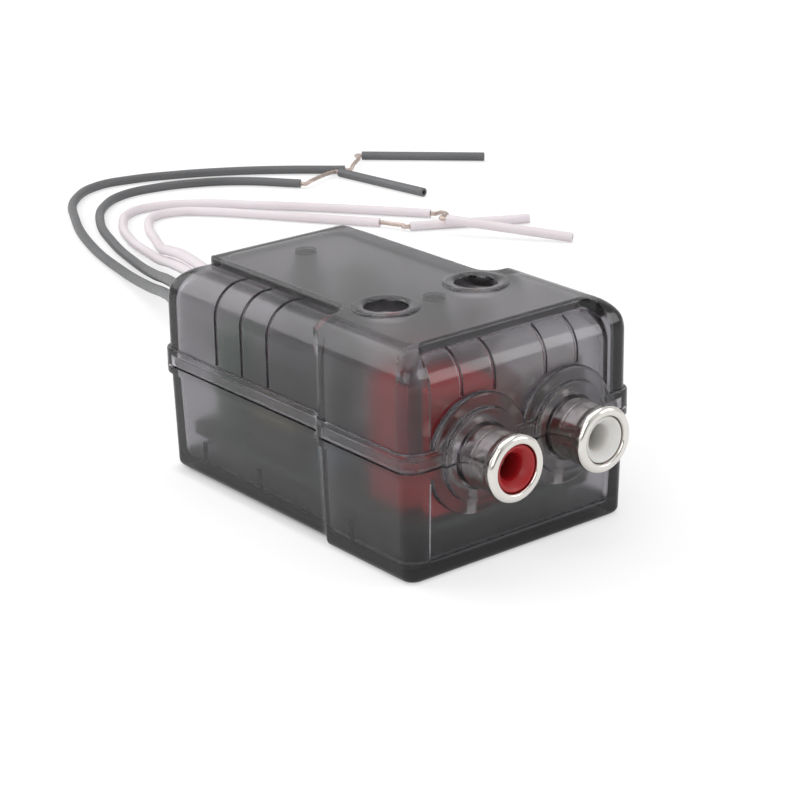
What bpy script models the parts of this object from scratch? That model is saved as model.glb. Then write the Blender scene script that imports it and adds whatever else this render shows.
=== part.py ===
"""Line output converter: a two-part moulded case with two phono jacks, two gain pots and four leads.

Metres, +Z up. The origin is the centre of the tray's underside. The jacks face -Y, the leads leave
the rear wall at +Y, and X runs across the case.
"""
import math

import bmesh
import bpy
from mathutils import Matrix, Vector

MM = 0.001
SEAT_GAP = 0.3 * MM          # between pieces that touch on the real object

# Case
CASE_LENGTH = 54.5 * MM      # over the flange
CASE_WIDTH = 37.5 * MM       # over the flange, at the wide front section
CASE_HEIGHT = 29.5 * MM      # to the raised top panel
PARTING_Z = 15.0 * MM
FLANGE_PROUD = 0.5 * MM
COVER_FLANGE_HEIGHT = 2.2 * MM
TRAY_FLANGE_HEIGHT = 1.1 * MM
WALL = 1.6 * MM
FLOOR = 1.8 * MM
CORNER_RADIUS = 2.0 * MM
SMALLEST_CORNER = 1.5 * MM   # on a form that is set in or rounded over
BOTTOM_RADIUS = 1.0 * MM
SHOULDER_RADIUS = 4.4 * MM
TRAY_DRAFT = 0.03            # how far the tray's walls lean, per unit of height
REAR_STEP = 1.3 * MM         # how far the rear section is set in on each side
STEP_FRONT_Y = -9.8 * MM     # where the wide front section starts to narrow
STEP_LENGTH = 2.9 * MM
PANEL_RISE = 1.1 * MM        # raised top panel above the recessed sides
PANEL_HALF_WIDTH = 11.5 * MM
PANEL_FRONT_Y = -23.1 * MM
PANEL_REAR_Y = 24.9 * MM
PANEL_REAR_CORNER = 3.0 * MM
PANEL_EDGE = 0.45 * MM
PANEL_INNER_CORNER = 2.6 * MM
FRONT_RECESS = 0.5 * MM
FRONT_RECESS_HALF_WIDTH = 14.7 * MM
FRONT_RECESS_FOOT_Z = 2.4 * MM
GROOVE_WIDTH = 0.5 * MM
GROOVE_DEPTH = 0.35 * MM
FRONT_GROOVES_X = (-9.4 * MM, -4.2 * MM, 4.2 * MM, 9.4 * MM)
SIDE_GROOVES_Y = (3.1 * MM, 8.8 * MM, 14.5 * MM)
TONGUE_THICKNESS = 0.55 * MM
TONGUE_HEIGHT = 1.0 * MM
COVER_LAP = 2.0 * MM          # how far the cover's forms are drawn below the parting line before the cut

# The widths of the case inside which the other pieces take their places
HALF_WIDTH = CASE_WIDTH / 2 - FLANGE_PROUD
HALF_LENGTH = CASE_LENGTH / 2 - FLANGE_PROUD
REAR_HALF_WIDTH = HALF_WIDTH - REAR_STEP

# Gain pots and the holes above them
GAIN_X = HALF_WIDTH * 0.40548
GAIN_Y = -9.4 * MM
GAIN_HOLE_RADIUS = 2.75 * MM
GAIN_RING_RADIUS = 4.4 * MM
GAIN_RING_RISE = 0.3 * MM
POT_WIDTH = 6.8 * MM
POT_DEPTH = 5.5 * MM
POT_HEIGHT = 8.0 * MM
SHAFT_RADIUS = 2.1 * MM
SHAFT_TOP_Z = 25.2 * MM
SHAFT_SLOT_WIDTH = 0.8 * MM
SHAFT_SLOT_DEPTH = 1.2 * MM
SHAFT_RUNNING_GAP = 0.1 * MM
SHAFT_COLLAR_RADIUS = 2.9 * MM
SHAFT_COLLAR_HEIGHT = 0.9 * MM

# Screws and the bosses that they hold together
SCREW_YS = {"front": -9.95 * MM, "rear": 17.0 * MM}
BOSS_RADIUS = 2.4 * MM
BOSS_END_Z = 4.6 * MM
POST_RADIUS = 3.3 * MM
SCREW_RADIUS = 1.1 * MM
SCREW_LENGTH = 10.0 * MM
SCREW_HEAD_RADIUS = 2.1 * MM
SCREW_HEAD_HEIGHT = 1.4 * MM
SCREW_HEAD_Z = 0.5 * MM      # underside of the head above the table
SCREW_CROSS_WIDTH = 0.5 * MM
SCREW_CROSS_DEPTH = 0.7 * MM

# Circuit board and the ribs that carry it
BOARD_Z = 5.3 * MM
BOARD_THICKNESS = 1.2 * MM
BOARD_CLEARANCE = 0.7 * MM   # to the tray's walls
BOARD_HALF_WIDTH = REAR_HALF_WIDTH - WALL - TRAY_DRAFT * (PARTING_Z - BOARD_Z) - BOARD_CLEARANCE
BOARD_FRONT_Y = -24.2 * MM
BOARD_REAR_Y = 24.4 * MM
BOARD_CORNER = 2.4 * MM
RIB_THICKNESS = 1.0 * MM
RIB_REACH = 3.4 * MM
RIB_YS = (-14.0 * MM, 7.1 * MM, 19.5 * MM)

# Phono jacks
JACK_X = HALF_WIDTH * 0.39452
JACK_Z = PARTING_Z
JACK_FACE_Y = -34.0 * MM
JACK_BLOCK_FRONT_Y = -23.6 * MM
JACK_BLOCK_REAR_Y = -13.4 * MM
JACK_BLOCK_WIDTH = 10.6 * MM
JACK_BLOCK_TOP_Z = 22.6 * MM
JACK_BLOCK_EDGE = 0.6 * MM
SHELL_RADIUS = 4.0 * MM
SHELL_BORE = 3.45 * MM
SHELL_RIM_RADIUS = 4.3 * MM
SHELL_RIM_LENGTH = 2.3 * MM
SHELL_LIP = 3.2 * MM
SHELL_FLANGE_RADIUS = 5.0 * MM
SHELL_FLANGE_THICKNESS = 0.5 * MM
SHELL_RING_DEPTH = 0.2 * MM
SHELL_RING_PITCH = 1.7 * MM
SHELL_RINGS = 4
INSERT_RADIUS = 2.9 * MM
INSERT_RECESS = 0.35 * MM
SOCKET_MOUTH = 2.2 * MM
SOCKET_RADIUS = 1.65 * MM
SOCKET_FUNNEL = 1.5 * MM
CONTACT_RADIUS = 1.35 * MM
CONTACT_BORE = 0.95 * MM
CONTACT_SETBACK = 3.6 * MM
CONTACT_TAIL_WIDTH = 1.4 * MM
CONTACT_TAIL_THICKNESS = 0.4 * MM
COLLAR_DISC_RADIUS = 7.8 * MM
COLLAR_DISC_PROUD = 0.85 * MM
COLLAR_RADIUS = 6.05 * MM
COLLAR_PROUD = 1.55 * MM
COLLAR_BORE = SHELL_RADIUS + 0.35 * MM
COLLAR_EDGE = 0.35 * MM

# Resistors across the board behind the gain pots
RESISTOR_X = REAR_HALF_WIDTH * 0.4425
RESISTOR_YS = (-4.9 * MM, -2.1 * MM)
RESISTOR_LENGTH = 6.2 * MM
RESISTOR_RADIUS = 1.15 * MM
RESISTOR_WAIST = 0.95 * MM
RESISTOR_LEAD_RADIUS = 0.3 * MM
RESISTOR_SPAN = 9.2 * MM
RESISTOR_RISE = 1.9 * MM

# Transformers behind the resistors
TRANSFORMER_X = REAR_HALF_WIDTH * 0.46
TRANSFORMER_GAP = 0.35 * MM  # from the rear resistors to the cores
CORE_LENGTH = 14.4 * MM
CORE_HEIGHT = 12.0 * MM
CORE_STACK = 5.0 * MM
CORE_LEG = 3.6 * MM
CORE_YOKE = 2.2 * MM
CORE_WINDOW = 3.7 * MM
BOBBIN_WALL = 0.5 * MM
BOBBIN_FLANGE = 0.6 * MM
COIL_DEPTH = 1.9 * MM
BOBBIN_RAIL = 1.3 * MM
TRANSFORMER_Y = RESISTOR_YS[1] + RESISTOR_RADIUS + TRANSFORMER_GAP + CORE_LENGTH / 2

# Capacitors behind the transformers
CAPACITOR_X = REAR_HALF_WIDTH * 0.59
CAPACITOR_GAP = 1.1 * MM     # from the cores
CAPACITOR_RADIUS = 3.1 * MM
CAPACITOR_HEIGHT = 13.6 * MM
CAPACITOR_CRIMP = 0.35 * MM
CAPACITOR_Y = TRANSFORMER_Y + CORE_LENGTH / 2 + CAPACITOR_GAP + CAPACITOR_RADIUS

# Leads: insulated wire, then bare strands, then the slug of insulation pulled along them
LEAD_RADIUS = 0.85 * MM
LEAD_NOTCH = LEAD_RADIUS + SEAT_GAP
LEAD_SPACING = 4.6 * MM      # between the points of a lead's centreline
LEAD_EXIT_X = {"grey_outer": -5.25 * MM, "grey_inner": -1.75 * MM, "white_outer": 1.75 * MM, "white_inner": 5.25 * MM}
LEAD_PAD_Y = 21.6 * MM
LEAD_BEND_LENGTH = 2.9 * MM   # from the pad to where the lead lies level
LEAD_BEND_DROP = 0.3 * MM
STRAND_RADIUS = 0.4 * MM
ROUTES = {
    "grey_outer": [(-5.2, 31.0, 15.0), (-3.4, 38.7, 14.4), (-0.2, 48.1, 12.9), (5.4, 58.6, 11.2), (12.4, 71.9, 7.6),
                   (18.9, 86.5, 3.8), (24.1, 101.9, 1.5), (29.2, 120.3, 0.95), (36.2, 137.2, 0.95),
                   (44.0, 149.5, 0.95), (52.2, 154.6, 0.95), (59.7, 154.1, 0.95), (67.7, 151.3, 0.95),
                   (76.2, 146.9, 0.95), (84.7, 141.0, 0.95), (95.1, 131.8, 0.95)],
    "grey_inner": [(-1.7, 31.0, 15.0), (0.4, 39.3, 14.6), (4.1, 49.7, 13.4), (8.9, 61.8, 11.6), (15.6, 75.6, 8.2),
                   (22.4, 90.1, 4.3), (28.2, 104.4, 1.7), (33.1, 119.3, 0.95), (38.7, 132.6, 0.95),
                   (45.7, 141.8, 0.95), (52.5, 145.7, 0.95), (59.6, 145.8, 0.95), (67.2, 143.5, 0.95),
                   (74.9, 138.5, 0.95), (82.3, 129.4, 0.95)],
    "white_outer": [(1.9, 31.0, 15.0), (4.2, 40.3, 14.6), (8.0, 51.8, 13.9), (12.7, 65.5, 12.6), (19.3, 79.9, 9.2),
                   (26.5, 94.2, 5.0), (32.8, 107.5, 1.9), (36.5, 118.8, 0.95), (41.0, 128.5, 0.95),
                   (46.6, 134.3, 0.95), (52.5, 134.7, 0.95), (59.3, 130.9, 0.95), (66.8, 122.7, 0.95),
                   (76.1, 111.5, 0.95), (87.5, 96.3, 0.95)],
    "white_inner": [(5.4, 31.0, 15.0), (7.6, 41.3, 14.8), (10.8, 53.9, 14.4), (14.8, 68.2, 13.7), (20.8, 82.4, 10.4),
                   (28.1, 95.2, 6.2), (34.8, 106.5, 2.6), (40.0, 116.3, 1.0), (43.8, 124.2, 0.95),
                   (48.3, 129.0, 0.95), (53.2, 128.8, 0.95), (57.7, 124.9, 0.95), (62.9, 118.0, 0.95),
                   (69.1, 108.8, 0.95), (76.8, 97.9, 0.95)],
}
STRANDS = {
    "grey_outer": [(97.7, 132.5, 1.3), (101.5, 135.5, 1.5)],
    "grey_inner": [(84.6, 128.9, 1.2), (89.0, 130.6, 1.2)],
    "white_outer": [(87.0, 92.6, 2.0), (84.9, 88.5, 2.9)],
    "white_inner": [(77.8, 95.8, 0.95), (78.8, 93.6, 0.95)],
}
SLUGS = {
    "grey_outer": [(104.4, 138.2, 0.95), (122.1, 120.9, 0.95)],
    "grey_inner": [(93.0, 130.7, 0.95), (95.9, 108.3, 0.95)],
    "white_outer": [(82.8, 86.0, 2.95), (96.3, 67.3, 0.95)],
    "white_inner": [(79.3, 92.2, 0.95), (98.8, 81.6, 0.95)],
}

SIDES = {"left": -1, "right": 1}
ROUND_STEPS = 22
LARGE_ROUND_STEPS = 32
SMALL_ROUND_STEPS = 16
CORNER_STEPS = 4
BORE_STEPS = 24

COLOURS = {
    "housing": ((0.12, 0.12, 0.13, 0.45), 0.12, 0.0),
    "board": ((0.05, 0.16, 0.08, 1), 0.5, 0.0),
    "nickel": ((0.75, 0.73, 0.7, 1), 0.15, 1.0),
    "steel": ((0.45, 0.45, 0.46, 1), 0.35, 1.0),
    "contact_metal": ((0.7, 0.68, 0.6, 1), 0.25, 1.0),
    "copper": ((0.72, 0.42, 0.26, 1), 0.3, 1.0),
    "red_plastic": ((0.5, 0.02, 0.025, 1), 0.3, 0.0),
    "white_plastic": ((0.78, 0.77, 0.75, 1), 0.3, 0.0),
    "pot_black": ((0.03, 0.03, 0.035, 1), 0.45, 0.0),
    "shaft_grey": ((0.55, 0.52, 0.5, 1), 0.4, 0.0),
    "lamination": ((0.16, 0.16, 0.17, 1), 0.45, 1.0),
    "bobbin_black": ((0.04, 0.04, 0.04, 1), 0.5, 0.0),
    "coil_tape": ((0.24, 0.24, 0.08, 1), 0.35, 0.0),
    "capacitor_sleeve": ((0.04, 0.16, 0.07, 1), 0.3, 0.0),
    "resistor_body": ((0.35, 0.5, 0.6, 1), 0.45, 0.0),
    "grey_insulation": ((0.13, 0.14, 0.14, 1), 0.4, 0.0),
    "white_insulation": ((0.78, 0.72, 0.75, 1), 0.4, 0.0),
}

for old in list(bpy.data.objects):
    bpy.data.objects.remove(old, do_unlink=True)

model = bpy.data.collections.new("line_output_converter")
tools = bpy.data.collections.new("cutters")
for group in (model, tools):
    bpy.context.scene.collection.children.link(group)


def material(slot):
    found = bpy.data.materials.get(slot)
    if found:
        return found
    colour, roughness, metallic = COLOURS[slot]
    made = bpy.data.materials.new(slot)
    made.use_nodes = True
    shader = made.node_tree.nodes["Principled BSDF"]
    shader.inputs["Base Color"].default_value = colour
    shader.inputs["Roughness"].default_value = roughness
    shader.inputs["Metallic"].default_value = metallic
    shader.inputs["Alpha"].default_value = colour[3]
    return made


def add(name, data, slot=None, location=(0, 0, 0), rotation=(0, 0, 0)):
    """Links an object as a part of the model, or as a cutter when it has no material slot."""
    made = bpy.data.objects.new(name, data)
    (model if slot else tools).objects.link(made)
    made.location = location
    made.rotation_euler = rotation
    if slot:
        data.materials.append(material(slot))
    else:
        made.hide_render = True
        made.display_type = "WIRE"
    return made


def mesh_from(name, bm):
    bmesh.ops.recalc_face_normals(bm, faces=bm.faces)
    data = bpy.data.meshes.new(name)
    bm.to_mesh(data)
    bm.free()
    return data


def boolean(target, tool, operation="DIFFERENCE"):
    step = target.modifiers.new(f"{operation.lower()} {tool.name}", "BOOLEAN")
    step.operation = operation
    step.object = tool
    step.solver = "EXACT"


def smooth(made, angle=35):
    made.data.shade_smooth()
    made.data.set_sharp_from_angle(angle=math.radians(angle))


def boxes(name, corners, slot=None, edge=0.0, edge_steps=2):
    """One mesh of boxes, each given by its lowest and highest corner, with rounded edges if edge is set."""
    bm = bmesh.new()
    for low, high in corners:
        size = [b - a for a, b in zip(low, high)]
        centre = [(a + b) / 2 for a, b in zip(low, high)]
        bmesh.ops.create_cube(bm, size=1, matrix=Matrix.Translation(centre) @ Matrix.Diagonal((*size, 1)))
    if edge:
        bmesh.ops.bevel(bm, geom=bm.edges[:], offset=edge, segments=edge_steps, profile=0.5, affect="EDGES")
    return add(name, mesh_from(name, bm), slot)


def cylinders(name, items, axis="Z", slot=None, steps=BORE_STEPS):
    """One mesh of cylinders: each item is (x, y, z of the lower end's centre, radius, length)."""
    turn = {"Z": Matrix.Identity(4), "Y": Matrix.Rotation(math.radians(-90), 4, "X")}[axis]
    bm = bmesh.new()
    for x, y, z, radius, length in items:
        place = Matrix.Translation((x, y, z)) @ turn @ Matrix.Translation((0, 0, length / 2))
        bmesh.ops.create_cone(bm, cap_ends=True, segments=steps, radius1=radius, radius2=radius, depth=length, matrix=place)
    return add(name, mesh_from(name, bm), slot)


def turned(name, profile, slot=None, location=(0, 0, 0), rotation=(0, 0, 0), steps=ROUND_STEPS, closed=False):
    """A profile of (radius, height) points, top to bottom on its outer side, turned about the Z axis."""
    bm = bmesh.new()
    points = [bm.verts.new((radius, 0, height)) for radius, height in profile]
    for a, b in zip(points, points[1:] + points[:1] if closed else points[1:]):
        bm.edges.new((a, b))
    data = bpy.data.meshes.new(name)
    bm.to_mesh(data)
    bm.free()
    made = add(name, data, slot, location, rotation)
    screw = made.modifiers.new("turn", "SCREW")
    screw.steps = screw.render_steps = steps
    screw.use_merge_vertices = True
    screw.merge_threshold = 0.00001
    screw.use_smooth_shade = True
    return made


def tube(name, points, radius, slot):
    """A round wire along the given points."""
    curve = bpy.data.curves.new(name, "CURVE")
    curve.dimensions = "3D"
    curve.bevel_depth = radius
    curve.bevel_resolution = 1
    curve.use_fill_caps = True
    line = curve.splines.new("POLY")
    line.points.add(len(points) - 1)
    for point, place in zip(line.points, points):
        point.co = (*place, 1)
    return add(name, curve, slot)


def curve_to_mesh(made):
    """Turns a curve object into a closed mesh object of the same name and place."""
    bpy.context.view_layer.update()
    solid = made.evaluated_get(bpy.context.evaluated_depsgraph_get())
    data = bpy.data.meshes.new_from_object(solid)
    bm = bmesh.new()
    bm.from_mesh(data)
    bmesh.ops.remove_doubles(bm, verts=bm.verts, dist=0.000002)
    bm.to_mesh(data)
    bm.free()
    name, place, home = made.name, made.matrix_world.copy(), made.users_collection[0]
    bpy.data.objects.remove(made, do_unlink=True)
    new = bpy.data.objects.new(name, data)
    new.matrix_world = place
    home.objects.link(new)
    if home is tools:
        new.hide_render = True
        new.display_type = "WIRE"
    return new


def smooth_path(points, spacing):
    """Points at an even spacing along a Catmull-Rom curve through the given points."""
    knots = [Vector(p) for p in points]
    knots = [knots[0] * 2 - knots[1], *knots, knots[-1] * 2 - knots[-2]]
    fine = []
    for a, b, c, d in zip(knots, knots[1:], knots[2:], knots[3:]):
        for step in range(24):
            t = step / 24
            fine.append(0.5 * (2 * b + (c - a) * t + (2 * a - 5 * b + 4 * c - d) * t**2 + (3 * b - a - 3 * c + d) * t**3))
    fine.append(knots[-2])
    lengths = [0.0]
    for a, b in zip(fine, fine[1:]):
        lengths.append(lengths[-1] + (b - a).length)
    count = max(2, round(lengths[-1] / spacing))
    path, k = [], 0
    for step in range(count + 1):
        want = lengths[-1] * step / count
        while k < len(fine) - 2 and lengths[k + 1] < want:
            k += 1
        path.append(fine[k].lerp(fine[k + 1], (want - lengths[k]) / (lengths[k + 1] - lengths[k])))
    return path


# Outlines of the case, seen from above

STEP_ANGLE = 2 * math.atan(REAR_STEP / STEP_LENGTH)
STEP_RADIUS = STEP_LENGTH / (2 * math.sin(STEP_ANGLE))


def arc(x, y, radius, start, end, steps):
    return [(x + radius * math.cos(math.radians(start + (end - start) * k / steps)),
             y + radius * math.sin(math.radians(start + (end - start) * k / steps))) for k in range(steps + 1)]


def step_curve(inset, half_width):
    """The S-shaped step on the right side, from the wide front section to the rear one."""
    turn = math.degrees(STEP_ANGLE)
    bent = min(inset, STEP_RADIUS - 0.25 * MM)       # beyond this the curve only moves across
    half_width -= inset - bent
    front = arc(half_width - STEP_RADIUS, STEP_FRONT_Y, STEP_RADIUS - bent, 0, turn, 3)
    rear = arc(half_width - REAR_STEP + STEP_RADIUS, STEP_FRONT_Y + STEP_LENGTH, STEP_RADIUS + bent, 180 + turn, 180, 3)
    return front + rear[1:]


def outline(inset, half_width=HALF_WIDTH, front_y=-HALF_LENGTH, rear_y=HALF_LENGTH, stepped=True):
    """The case's outline moved inwards by inset, as points in order round it."""
    radius = max(CORNER_RADIUS - inset, SMALLEST_CORNER)
    rear_half = half_width - (REAR_STEP if stepped else 0)
    right = arc(half_width - inset - radius, front_y + inset + radius, radius, -90, 0, CORNER_STEPS)
    if stepped:
        right += step_curve(inset, half_width)
    right += arc(rear_half - inset - radius, rear_y - inset - radius, radius, 0, 90, CORNER_STEPS)
    return right + [(-x, y) for x, y in reversed(right)]


def loft(name, levels, slot=None, **shape):
    """A solid through the case's outline at several heights: levels are (z, inset) from the bottom up."""
    bm = bmesh.new()
    rings = [[bm.verts.new((x, y, z)) for x, y in outline(inset, **shape)] for z, inset in levels]
    for low, high in zip(rings, rings[1:]):
        for k in range(len(low)):
            n = (k + 1) % len(low)
            bm.faces.new((low[k], low[n], high[n], high[k]))
    bm.faces.new(rings[0][::-1])
    bm.faces.new(rings[-1])
    return add(name, mesh_from(name, bm), slot)


def shoulder(top_z, radius, inset, steps=4):
    """Levels of a rounded top edge, for a form that is inset all over."""
    return [(top_z - radius * (1 - math.sin(math.radians(90 * k / steps))),
             inset + radius * (1 - math.cos(math.radians(90 * k / steps)))) for k in range(steps + 1)]


def prism(name, points, low, high, slot=None):
    bm = bmesh.new()
    base = bm.faces.new([bm.verts.new((x, y, low)) for x, y in points])
    top = bmesh.ops.extrude_face_region(bm, geom=[base])
    bmesh.ops.translate(bm, verts=[v for v in top["geom"] if isinstance(v, bmesh.types.BMVert)], vec=(0, 0, high - low))
    return add(name, mesh_from(name, bm), slot)


# Case

def raised_plan(inset):
    """The right half of the T-shaped plan inside which the case has its full height and width."""
    beyond = CASE_WIDTH
    panel = PANEL_HALF_WIDTH - inset
    shelf_y = STEP_FRONT_Y + STEP_LENGTH - inset
    recess = FRONT_RECESS_HALF_WIDTH + inset
    right = [(recess, PANEL_FRONT_Y + inset), (recess, -beyond), (beyond, -beyond), (beyond, STEP_FRONT_Y - inset)]
    # The curve is drawn slightly wider than the step so that it crosses both walls
    middle = HALF_WIDTH - REAR_STEP / 2 - inset
    right += [(middle + (x - middle) * 1.04, y) for x, y in step_curve(inset, HALF_WIDTH) if y < shelf_y + 0.01 * MM]
    room = REAR_HALF_WIDTH - PANEL_HALF_WIDTH - SEAT_GAP
    corner = min(PANEL_INNER_CORNER, room)           # the shelf has to reach the rear section's wall
    right += arc(panel + corner, shelf_y + corner, corner, -90, -180, 5)
    return right + arc(panel - PANEL_REAR_CORNER, PANEL_REAR_Y - inset - PANEL_REAR_CORNER, PANEL_REAR_CORNER, 0, 90, 4)


def raised_form(name, inset):
    """The wide front section and the raised top panel: a plain rounded block cut to the T-shaped plan."""
    top_z = CASE_HEIGHT - inset
    overshoot = 0.01 * MM
    low = PARTING_Z - COVER_LAP * (1 if inset == 0 else 2)
    block = loft(name, [(low, inset), *shoulder(top_z + overshoot, SHOULDER_RADIUS - inset, inset)], stepped=False)
    right = raised_plan(inset)
    plan = prism(name + "_plan", right + [(-x, y) for x, y in reversed(right)], low - 1 * MM, top_z)
    if inset == 0:
        bm = bmesh.new()
        bm.from_mesh(plan.data)
        rims = [e for e in bm.edges if all(abs(v.co.z - top_z) < 1e-7 for v in e.verts)]
        bmesh.ops.bevel(bm, geom=rims, offset=PANEL_EDGE, segments=2, profile=0.5, affect="EDGES")
        bm.to_mesh(plan.data)
        bm.free()
    boolean(block, plan, "INTERSECT")
    return block


def cover_form(name, inset, slot=None):
    """The top cover's form with its recessed sides and front, and the raised form joined to it."""
    top_z = CASE_HEIGHT - PANEL_RISE - inset
    low = PARTING_Z - COVER_LAP * (1 if inset == 0 else 2)
    made = loft(name, [(low, inset), *shoulder(top_z, SHOULDER_RADIUS - inset, inset)], slot,
                half_width=REAR_HALF_WIDTH, front_y=-HALF_LENGTH + FRONT_RECESS, stepped=False)
    boolean(made, raised_form(name + "_raised", inset), "UNION")
    return made


def collars(name):
    """The disc and the collar round each jack, as whole rounds that each half of the case cuts in two."""
    wall_y = -HALF_LENGTH + FRONT_RECESS
    seat_y = wall_y + WALL * 0.6
    disc, collar = seat_y - wall_y + COLLAR_DISC_PROUD, seat_y - wall_y + COLLAR_PROUD
    edge = COLLAR_EDGE
    profile = [(0, collar), (COLLAR_RADIUS - edge, collar), (COLLAR_RADIUS, collar - edge), (COLLAR_RADIUS, disc),
               (COLLAR_DISC_RADIUS - edge, disc), (COLLAR_DISC_RADIUS, disc - edge), (COLLAR_DISC_RADIUS, 0), (0, 0)]
    return [turned(f"{name}_{side_name}", profile, None, (side * JACK_X, seat_y, JACK_Z), (math.radians(90), 0, 0), steps=LARGE_ROUND_STEPS)
            for side_name, side in SIDES.items()]


def lead_notches(name):
    wall_y = HALF_LENGTH - 3 * WALL
    return cylinders(name, [(x, wall_y, PARTING_Z, LEAD_NOTCH, 6 * WALL) for x in LEAD_EXIT_X.values()], "Y", steps=SMALL_ROUND_STEPS)


def jack_bores(name):
    return cylinders(name, [(side * JACK_X, -HALF_LENGTH - 4 * WALL, JACK_Z, COLLAR_BORE, 8 * WALL) for side in SIDES.values()],
                     "Y", steps=LARGE_ROUND_STEPS)


def flange_levels(low, high):
    soft = 0.25 * MM
    return [(low, -FLANGE_PROUD), (high - soft, -FLANGE_PROUD), (high, -FLANGE_PROUD + soft)]


def half_space(name, low, high):
    reach = CASE_LENGTH
    return boxes(name, [((-reach, -reach, low), (reach, reach, high))])


def make_cover():
    cover = cover_form("top_cover", 0, "housing")
    low = PARTING_Z + SEAT_GAP / 2
    boolean(cover, loft("cover_flange", flange_levels(low - 1 * MM, low + COVER_FLANGE_HEIGHT)), "UNION")
    for collar in collars("cover_collar"):
        boolean(cover, collar, "UNION")
    rings = [(side * GAIN_X, GAIN_Y, CASE_HEIGHT - WALL / 2, GAIN_RING_RADIUS, WALL / 2 + GAIN_RING_RISE) for side in SIDES.values()]
    boolean(cover, cylinders("gain_rings", rings, steps=LARGE_ROUND_STEPS), "UNION")
    boolean(cover, cover_form("cover_cavity", WALL))
    boolean(cover, half_space("below_cover", -CASE_HEIGHT, low))

    roof = CASE_HEIGHT - WALL / 2
    pillars = [(0, y, BOSS_END_Z, BOSS_RADIUS, roof - BOSS_END_Z) for y in SCREW_YS.values()]
    boolean(cover, cylinders("cover_bosses", pillars), "UNION")
    pilot_end = SCREW_HEAD_Z + SCREW_HEAD_HEIGHT + SCREW_LENGTH + 2 * SEAT_GAP
    pilots = [(0, y, 0, SCREW_RADIUS + SEAT_GAP, pilot_end) for y in SCREW_YS.values()]
    boolean(cover, cylinders("boss_pilots", pilots))
    holes = [(side * GAIN_X, GAIN_Y, CASE_HEIGHT - 4 * WALL, GAIN_HOLE_RADIUS, 6 * WALL) for side in SIDES.values()]
    boolean(cover, cylinders("gain_holes", holes))

    reach = CASE_LENGTH
    half = GROOVE_WIDTH / 2
    groove_foot = low + COVER_FLANGE_HEIGHT + 0.2 * MM
    slabs = [((side * PANEL_HALF_WIDTH * 1.005, y - half, groove_foot), (side * reach, y + half, reach))
             for side in SIDES.values() for y in SIDE_GROOVES_Y]
    slabs = [tuple(zip(*(sorted(pair) for pair in zip(a, b)))) for a, b in slabs]
    for x in FRONT_GROOVES_X:
        off = abs(abs(x) - JACK_X) - half
        foot = JACK_Z + math.sqrt(COLLAR_DISC_RADIUS**2 - off**2) + 0.1 * MM
        slabs.append(((x - half, -reach, foot), (x + half, PANEL_FRONT_Y - 0.05 * MM, reach)))
    grooves = boxes("grooves", slabs)
    top_z = CASE_HEIGHT - PANEL_RISE - GROOVE_DEPTH
    core = loft("groove_floor", [(0, GROOVE_DEPTH), *shoulder(top_z, SHOULDER_RADIUS - GROOVE_DEPTH, GROOVE_DEPTH)],
                half_width=REAR_HALF_WIDTH, front_y=-HALF_LENGTH + FRONT_RECESS, stepped=False)
    boolean(grooves, core)
    boolean(cover, grooves)

    rebate_top = PARTING_Z - SEAT_GAP / 2 + TONGUE_HEIGHT + SEAT_GAP
    boolean(cover, loft("cover_rebate", [(0, WALL - TONGUE_THICKNESS - SEAT_GAP), (rebate_top, WALL - TONGUE_THICKNESS - SEAT_GAP)]))
    boolean(cover, lead_notches("cover_lead_notches"))
    boolean(cover, jack_bores("cover_jack_bores"))
    smooth(cover)


def tray_levels(inset, low, radius, above=1 * MM, steps=3):
    """Levels up a drafted wall from a rounded bottom edge to a little above the parting line."""
    levels = []
    for k in range(steps + 1):
        turn = math.radians(90 * k / steps)
        z = low + radius * (1 - math.cos(turn))
        levels.append((z, inset + TRAY_DRAFT * (PARTING_Z - z) + radius * (1 - math.sin(turn))))
    return levels + [(PARTING_Z, inset), (PARTING_Z + above, inset)]


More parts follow.
